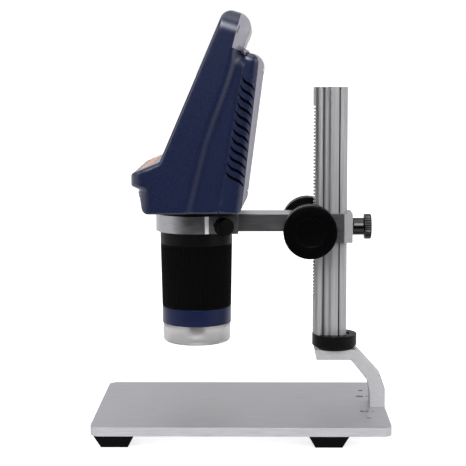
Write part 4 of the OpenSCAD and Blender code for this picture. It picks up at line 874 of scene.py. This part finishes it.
def headAcross(edgePoints):
    # the surface that runs across between the two sides, carried along the outline
    n, columns = len(edgePoints), skin["columns"]
    inset = 0.02      # how far inside the outline the shell of a face is looked up
    reach = halfWidth(edgePoints, np.zeros(n))
    rows = np.stack([reach[:, None] * np.linspace(-1, 1, columns), np.repeat(edgePoints[:, :1], columns, 1),
                     np.repeat(edgePoints[:, 1:], columns, 1)], 2)
    verts = [rows.reshape(-1, 3)]
    index = np.arange(n * columns).reshape(n, columns)
    on = np.roll(index, -1, 0)
    plain = np.ones(n, bool)      # steps along the outline that no flat with openings takes
    faces, zones, depths = [], [], []
    count = n * columns
    for distance, placeAt, flatLoops in headFlats:
        first, last = longestRun(np.abs(distance(edgePoints)) < 1e-3)
        plain[first:last] = False
        steps = np.linalg.norm(np.diff(edgePoints[first:last + 1], axis=0), axis=1)
        u = np.concatenate([[0], np.cumsum(steps)])
        base, way = edgePoints[first], unit(edgePoints[last] - edgePoints[first])
        loops = [(np.stack([loop[:, 0], (placeAt(loop[:, 1:]) - base) @ way], 1), sink)
                 for loop, sink in flatLoops]
        lowRow = np.stack([rows[first][:, 0], np.zeros(columns)], 1)
        highRow = np.stack([rows[last][:, 0], np.full(columns, u[-1])], 1)
        right = np.stack([reach[first + 1:last], u[1:-1]], 1)
        border = np.concatenate([lowRow, right, highRow[::-1], (right * [-1, 1])[::-1]])
        inner = np.stack(np.meshgrid(
            np.arange(-skin["flatHalf"], skin["flatHalf"] + 1, skin["flatStep"]),
            np.arange(skin["flatFrom"], u[-1] - skin["flatTo"], skin["flatStep"])), -1).reshape(-1, 2)
        free = insideLoop(inner, border) & (lineDistance(inner, border, True) > skin["flatEdge"])
        for loop, sink in loops:
            free &= ~(insideLoop(inner, loop) | (lineDistance(inner, loop, True) < skin["flatRim"]))
        flat, tri, middle = triangulate(inner[free], [border] + [loop for loop, sink in loops],
                                        holes=[loop for loop, sink in loops if sink == 0])
        verts.append(np.concatenate([flat[:, :1], base + flat[:, 1:] * way], 1))
        faces.append(turnFaces(flat, tri, False) + count)
        zones.append(zoneOf(base + middle[:, 1:] * way + inset * np.array([-way[1], way[0]])))
        depths.append(sinkOf(middle, loops))
        count += len(flat)
    quads = np.stack([index[plain, :-1], on[plain, :-1], on[plain, 1:], index[plain, 1:]], 2).reshape(-1, 4)
    faces.append(splitQuads(quads))
    middle = (edgePoints + np.roll(edgePoints, -1, 0)) / 2
    names = np.repeat(zoneOf(middle[plain] + inset * inwardOf(edgePoints)[plain]), columns - 1)
    zones.append(np.concatenate([names, names]))
    depths.append(np.zeros(2 * len(quads)))
    return np.concatenate(verts), np.concatenate(faces), np.concatenate(zones), np.concatenate(depths)


def headShells():      # outer skin, inner skin a wall's thickness in, and walls along every rim of each shell
    parts = [headSide(1), headSide(-1)]
    parts.append(headAcross(loopOrder(parts[0][4])))
    verts = np.concatenate([p[0] for p in parts])
    offsets = np.cumsum([0] + [len(p[0]) for p in parts])[:3]
    faces = np.concatenate([p[1] + o for p, o in zip(parts, offsets)])
    zone = np.concatenate([p[2] for p in parts])
    depth = np.concatenate([p[3] for p in parts])
    back = np.unique(np.round(verts, 3), axis=0, return_inverse=True)[1].reshape(-1)
    n = back.max() + 1
    points = np.zeros((n, 3))
    points[back] = verts
    shells = {}
    for name in headZones:
        own = zone == name
        tri, sink = back[faces[own]], depth[own]
        tri, sink = tri[fullFaces(tri)], sink[fullFaces(tri)]
        normals = pointNormals(points, tri)
        layers, outside = [points, points - normals * head["wall"]], [tri[sink == 0]]
        for level in np.unique(sink[sink > 0]):      # pockets: a floor, and walls down to it
            base = len(layers) * n
            floor = tri[sink == level]
            layers.append(points - normals * level)
            outside += [floor + base, rimWalls(rimEdges(floor), base)]
        walls = rimWalls(rimEdges(tri)[:, ::-1], n)
        allFaces = np.concatenate(outside + [tri[:, ::-1] + n, walls])
        shells[name] = usedPoints(np.concatenate(layers), allFaces)
        if name == "rear":      # thin black sheets on the slots' floors, painted shade for the dark hollow behind them
            floor = tri[sink == vents["depth"]]
            sheets = [points - normals * (vents["depth"] - up) for up in vents["sheet"]]
            allFaces = np.concatenate([floor, floor[:, ::-1] + n, rimWalls(rimEdges(floor)[:, ::-1], n)])
            shells["ventShadeSheet"] = usedPoints(np.concatenate(sheets), allFaces)
    return shells


headFinish = {      # finish, node that the shell stands for, slot
    "front": ("navyPlastic", ["front_housing"], "navy_abs"),
    "rear": ("navyPlastic", ["rear_housing"], "navy_abs"),
    "cover": ("greyPlastic", ["rear_cover"], "grey_abs"),
    "top": ("greyPlastic", ["top_cover"], "grey_abs"),
    # black sheets behind the slots: painted shade, standing for no CAD node
    "ventShadeSheet": ("ventBlack", [], "black_plastic"),
}
for zoneName, (verts, faces) in headShells().items():
    finishName, nodes, slotName = headFinish[zoneName]
    makePiece(zoneName + "Shell", verts + [0, scopeY, headZ], faces, finishName, "scope", nodes, slotName)
    print("head shell", zoneName, len(verts), "points", len(faces), "faces")


# Turned, lofted and edge-rounded pieces
def loft(rings):      # closed skin over loops of one count, given as (loop, level), with both ends capped
    count = len(rings[0][0])
    verts = np.concatenate([np.column_stack([loop, np.full(count, level)]) for loop, level in rings])
    index = np.arange(len(verts)).reshape(len(rings), count)
    on = np.roll(index, -1, 1)
    faces = [splitQuads(np.stack([index[:-1], on[:-1], on[1:], index[1:]], 2).reshape(-1, 4))]
    for (loop, level), up in ((rings[0], False), (rings[-1], True)):
        flat, tri, _ = triangulate(np.zeros((0, 2)), [loop])
        faces.append(turnFaces(flat, tri, up) + len(verts))
        verts = np.concatenate([verts, np.column_stack([flat, np.full(len(flat), level)])])
    return mergePoints(verts, np.concatenate(faces))


def domed(loop, low, high, r, steps=5):      # loft of one loop whose upper edge is rounded with radius r
    angles = np.linspace(0, pi / 2, steps + 1)
    edge = [(shrunk(loop, r * (1 - np.cos(a))), high - r + r * np.sin(a)) for a in angles]
    return loft([(loop, low)] + edge)


def revolve(corners, centre, axis, count, knurl=None, steps=4):
    # corners (radius, along, fillet) run round the section, up its outer side; between the knurl's two levels
    # the outer radius falls by its depth in a squared cosine groove, ribs times a turn
    section = roundCorners(corners, steps)
    section = section[np.linalg.norm(section - np.roll(section, 1, 0), axis=1) > 1e-5]
    radius = np.repeat(section[:, :1], count, 1)
    turn = np.arange(count) * 2 * pi / count
    if knurl:
        ease, band = 0.3, 1.6      # run of the knurl's ends, and the depth of the outer band that it cuts
        low, high = knurl["low"], knurl["high"]
        edges = np.array([low, low + ease, high - ease, high])
        rows = []
        for p, q in zip(section, np.roll(section, -1, 0)):
            rows.append(p[None])
            if q[1] > p[1] and min(p[0], q[0]) > 0:
                t = (edges - p[1]) / (q[1] - p[1])
                t = t[(t > 0) & (t < 1)]
                rows.append(p + t[:, None] * (q - p))
        section = np.concatenate(rows)
        outside = section[:, 0] > section[:, 0].max() - band
        share = smooth((section[:, 1] - low) / ease) * smooth((high - section[:, 1]) / ease) * outside
        groove = (0.5 - 0.5 * np.cos(knurl["ribs"] * turn))[None] ** 2
        radius = np.repeat(section[:, :1], count, 1) - share[:, None] * knurl["depth"] * groove
    axis = unit(np.array(axis, float))
    aside = [0.3, 0.5, 0.81] if abs(axis[2]) < 0.9 else [1.0, 0, 0]      # any way but the axis
    u = unit(np.cross(axis, aside))
    v = np.cross(axis, u)
    verts = np.array(centre) + section[:, 1, None, None] * axis + radius[..., None] * (
        np.cos(turn)[None, :, None] * u + np.sin(turn)[None, :, None] * v)
    index = np.arange(len(section) * count).reshape(len(section), count)
    on = np.roll(index, -1, 1)
    quads = np.stack([index, on, np.roll(on, -1, 0), np.roll(index, -1, 0)], 2).reshape(-1, 4)
    return mergePoints(verts.reshape(-1, 3), splitQuads(quads))


def makeTurned(name, corners, centre, axis, count, knurl, steps, *pieceValues):
    # a revolved piece; its last values are makePiece's finish, body, nodes and slot
    verts, faces = revolve(corners, centre, axis, count, knurl, steps)
    makePiece(name, verts, faces, *pieceValues)


def makeThumbscrew(name, finishName, body, screw, centre, axis):      # shank, neck and knurled head
    radii = [0, *np.repeat([screw["shankR"], screw["neckR"], screw["headR"]], 2), 0]
    along = np.repeat([screw["from"], screw["neckFrom"], screw["headFrom"], screw["headTo"]], 2)
    knurl = {"ribs": screw["ribs"], "depth": screw["ribDepth"],
             "low": screw["headFrom"] + screw["plain"], "high": screw["headTo"] - screw["plain"]}
    corners = list(zip(radii, along, (0, *screw["rounds"], 0)))
    makeTurned(name, corners, centre, axis, screw["ribs"] * 8, knurl, 4,
               finishName, body, [body], "black_plastic")


def tiltedPoints(points, angle):      # points (x, up the face, out of it) of a leaning face, in the row frame
    c, s = np.cos(angle), np.sin(angle)
    y, z = points[:, 1], points[:, 2]
    return np.stack([points[:, 0], head["faceFoot"][0] + y * c - z * s + scopeY,
                     head["faceFoot"][1] + y * s + z * c + headZ], 1)


def softened(nodeName, body, width, slotName, angle=35, segments=3):
    # copy of a CAD node in its finish, with points joined and level triangles merged; edges sharper than the
    # angle are rounded over width
    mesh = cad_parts[nodeName].data.copy()
    work = bmesh.new()
    work.from_mesh(mesh)
    bmesh.ops.remove_doubles(work, verts=work.verts, dist=2e-6)
    bmesh.ops.dissolve_limit(work, angle_limit=np.radians(0.6), verts=work.verts, edges=work.edges)
    work.to_mesh(mesh)
    work.free()
    shadeSmooth(mesh, angle)
    parts = nodeName.split("_")
    piece = bpy.data.objects.new(parts[0] + "".join(p.title() for p in parts[1:]) + "Rounded", mesh)
    bpy.context.scene.collection.objects.link(piece)
    edge = piece.modifiers.new("edgeRound", "BEVEL")
    edge.width, edge.segments = width * mm, segments
    edge.limit_method, edge.angle_limit = "ANGLE", np.radians(angle)
    edge.harden_normals = True
    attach(piece, body)
    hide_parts(nodeName)


roundedNodes = [
    # node, body, edge radius in mm, slot, and the least angle of a rounded edge where it isn't 35 degrees
    ("base_plate", "base", 0.5, "anodised_aluminium"),
    ("feet", "base", 1.0, "rubber"),
    ("bracket", "base", 0.5, "cast_aluminium"),
    ("post", "base", 0.12, "anodised_aluminium"),
    ("post_collar", "base", 0.5, "black_plastic"),
    ("carriage_block", "carriage", 0.45, "anodised_aluminium"),
    ("carriage_cap", "carriage", 0.6, "anodised_aluminium"),
    ("arm_bar", "carriage", 0.45, "anodised_aluminium"),
    ("clamp_ring", "carriage", 0.5, "anodised_aluminium", 20),
    ("barrel_tube", "scope", 0.3, "black_anodised"),
    ("dimmer_wheel", "dimmer", 0.2, "black_plastic"),
]
for rounded in roundedNodes:
    softened(*rounded)
print("rounded nodes:", len(roundedNodes))

# Focusing knobs: dished face, bevelled rim, fine knurl; along is the distance from the post's middle
pinionLow, pinionHigh = inMm(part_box("pinion_shaft"))
pinionAxis = (pinionLow + pinionHigh) / 2
knobLow, knobHigh = inMm(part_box("knob_right"))
knob = {"r": (knobHigh[2] - knobLow[2]) / 2, "outer": knobHigh[0], "inner": knobHigh[0] - 13,
        "hubFrom": knobLow[0], "hubR": 6.5, "rim": 0.9, "dish": 0.8, "dishR": 9.6, "dishSlope": 0.4,
        "ribs": 72}
knobKnurl = {"ribs": knob["ribs"], "depth": 0.45, "low": knob["inner"] + 1.0, "high": knob["outer"] - 1.3}
for side, nodeName, pieceName in ((1, "knob_right", "knobRight"), (-1, "knob_left", "knobLeft")):
    makeTurned(pieceName, [
        (0, knob["hubFrom"], 0), (knob["hubR"], knob["hubFrom"], 0.4), (knob["hubR"], knob["inner"], 0.5),
        (knob["r"], knob["inner"], 0.7), (knob["r"], knob["outer"], knob["rim"]),
        (knob["dishR"] + knob["dishSlope"], knob["outer"], 0.35),
        (knob["dishR"], knob["outer"] - knob["dish"], 0.35), (0, knob["outer"] - knob["dish"], 0)],
        (0, pinionAxis[1], pinionAxis[2]), (side, 0, 0), knob["ribs"] * 6, knobKnurl, 4,
        "knobPlastic", "pinion", [nodeName], "black_plastic")

# Thumbscrews that lock the carriage and clamp the head's barrel
lockLow, lockHigh = inMm(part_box("lock_screw"))
lock = {"from": lockLow[1], "shankR": 2.9, "neckR": 6.0, "neckFrom": lockHigh[1] - 12.6,
        "headFrom": lockHigh[1] - 5.2, "headTo": lockHigh[1], "headR": (lockHigh[2] - lockLow[2]) / 2,
        "rounds": (0.2, 0.1, 0.5, 0.5, 0.8, 0.8), "ribs": 30, "ribDepth": 0.5, "plain": 0.7}
makeThumbscrew("lockThumbscrew", "glossBlackPlastic", "lock_screw", lock,
               (0, 0, (lockLow[2] + lockHigh[2]) / 2), (0, 1, 0))

ringLow, ringHigh = inMm(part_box("clamp_ring"))
clamp = {"turn": np.radians(30), "from": 26.6, "shankR": 1.95, "neckR": 3.5, "neckFrom": 32.23,
         "headFrom": 36.95, "headTo": 43.95, "headR": 6.0, "rounds": (0.2, 0.1, 0.3, 0.4, 0.7, 0.8),
         "ribs": 24, "ribDepth": 0.45, "plain": 0.8}
makeThumbscrew("clampThumbscrew", "knobPlastic", "clamp_screw", clamp,
               (0, scopeY, (ringLow[2] + ringHigh[2]) / 2), (np.cos(clamp["turn"]), np.sin(clamp["turn"]), 0))

# Focus grip with upright ribs, blue ring and frosted nose
onBarrel, upright = (0, scopeY, 0), (0, 0, 1)
gripLow, gripHigh = inMm(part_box("focus_ring"))
grip = {"topR": (gripHigh[0] - gripLow[0]) / 2, "taper": 0.85, "boreR": 21.05, "ribs": 80, "plain": 1.2}
gripKnurl = {"ribs": grip["ribs"], "depth": 0.5,
             "low": gripLow[2] + grip["plain"], "high": gripHigh[2] - grip["plain"]}
makeTurned("focusGrip", [
    (grip["boreR"], gripLow[2], 0.1), (grip["topR"] - grip["taper"], gripLow[2], 0.4),
    (grip["topR"], gripHigh[2], 0.3), (grip["boreR"], gripHigh[2], 0.1)],
    onBarrel, upright, grip["ribs"] * 6, gripKnurl, 4,
    "gripRubber", "focus_ring", ["focus_ring"], "grip_rubber")

noseLow, noseHigh = inMm(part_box("nose_ring"))
noseBand = {"r": (noseHigh[0] - noseLow[0]) / 2, "boreR": 21.02, "count": 144}
makeTurned("blueRing", [
    (noseBand["boreR"], noseLow[2], 0.1), (noseBand["r"], noseLow[2], 0.35),
    (noseBand["r"], noseHigh[2], 0.35), (noseBand["boreR"], noseHigh[2], 0.1)],
    onBarrel, upright, noseBand["count"], None, 4, "navyGloss", "scope", ["nose_ring"], "navy_abs")

tipLow, tipHigh = inMm(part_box("diffuser"))
tip = {"r": (tipHigh[0] - tipLow[0]) / 2, "fillet": 2.8, "floor": 2.0, "sightR": 8.0, "innerR": 21.3,
       "seatR": 20.95, "seatBoreR": 19.2, "roof": 1.6, "count": 144}
makeTurned("frostedNose", [
    (tip["sightR"], tipLow[2], 0.3), (tip["r"], tipLow[2], tip["fillet"]), (tip["r"], noseLow[2], 0.1),
    (tip["seatR"], noseLow[2], 0.05), (tip["seatR"], tipHigh[2], 0.1), (tip["seatBoreR"], tipHigh[2], 0.1),
    (tip["seatBoreR"], noseLow[2] - tip["roof"], 0.1), (tip["innerR"], noseLow[2] - tip["roof"], 0.2),
    (tip["innerR"], tipLow[2] + tip["floor"], 0.8), (tip["sightR"], tipLow[2] + tip["floor"], 0.3)],
    onBarrel, upright, tip["count"], None, 6, "frostedAcrylic", "scope", ["diffuser"], "frosted_acrylic")
print("barrel and thumbscrews done")

# Keys: a stadium each with a rounded top edge, on the sloping ledge
for i, x in enumerate(keyPlaces, 1):
    outline = barLoop((x, keys["alongLedge"]), keys["width"], keys["length"],
                      keys["width"] / 2 - keys["flat"], 8)
    verts, faces = domed(outline, -keys["depth"], keys["rise"], keys["round"])
    makePiece(f"key{i}Cap", tiltedPoints(verts, ledgeAngle), faces, "orangePlastic", f"key_{i}",
              [f"key_{i}"], "orange_plastic")

# Display: clear window flush with the slab, black border printed behind it
slabAngle = pi / 2 - lean
outline = barLoop((0, window["middle"]), window["width"] - window["gap"], window["height"] - window["gap"],
                  window["round"] - window["gap"] / 2, 8)
verts, faces = domed(outline, -window["thick"], 0, window["edge"], 3)
makePiece("displayWindow", tiltedPoints(verts, slabAngle), faces, "windowAcrylic", "scope",
          ["display_window"], "display_glass")
viewHalf = np.array([window["width"] / 2 - window["border"], window["height"] / 2 - window["borderTop"]])
sight = barLoop((0, window["middle"]), *(2 * viewHalf), window["sightRound"], 4)
flat, tri, _ = triangulate(np.zeros((0, 2)), [outline, sight], holes=[sight])
verts = np.column_stack([flat, np.full(len(flat), -window["thick"] - window["inkGap"])])
border = makePiece("displayBorder", tiltedPoints(verts, slabAngle), turnFaces(flat, tri, True), "blackInk",
                   "scope", [], "black_plastic")
film = border.modifiers.new("filmThickness", "SOLIDIFY")
film.thickness, film.offset = window["inkThick"] * mm, -1
print("keys and display done")
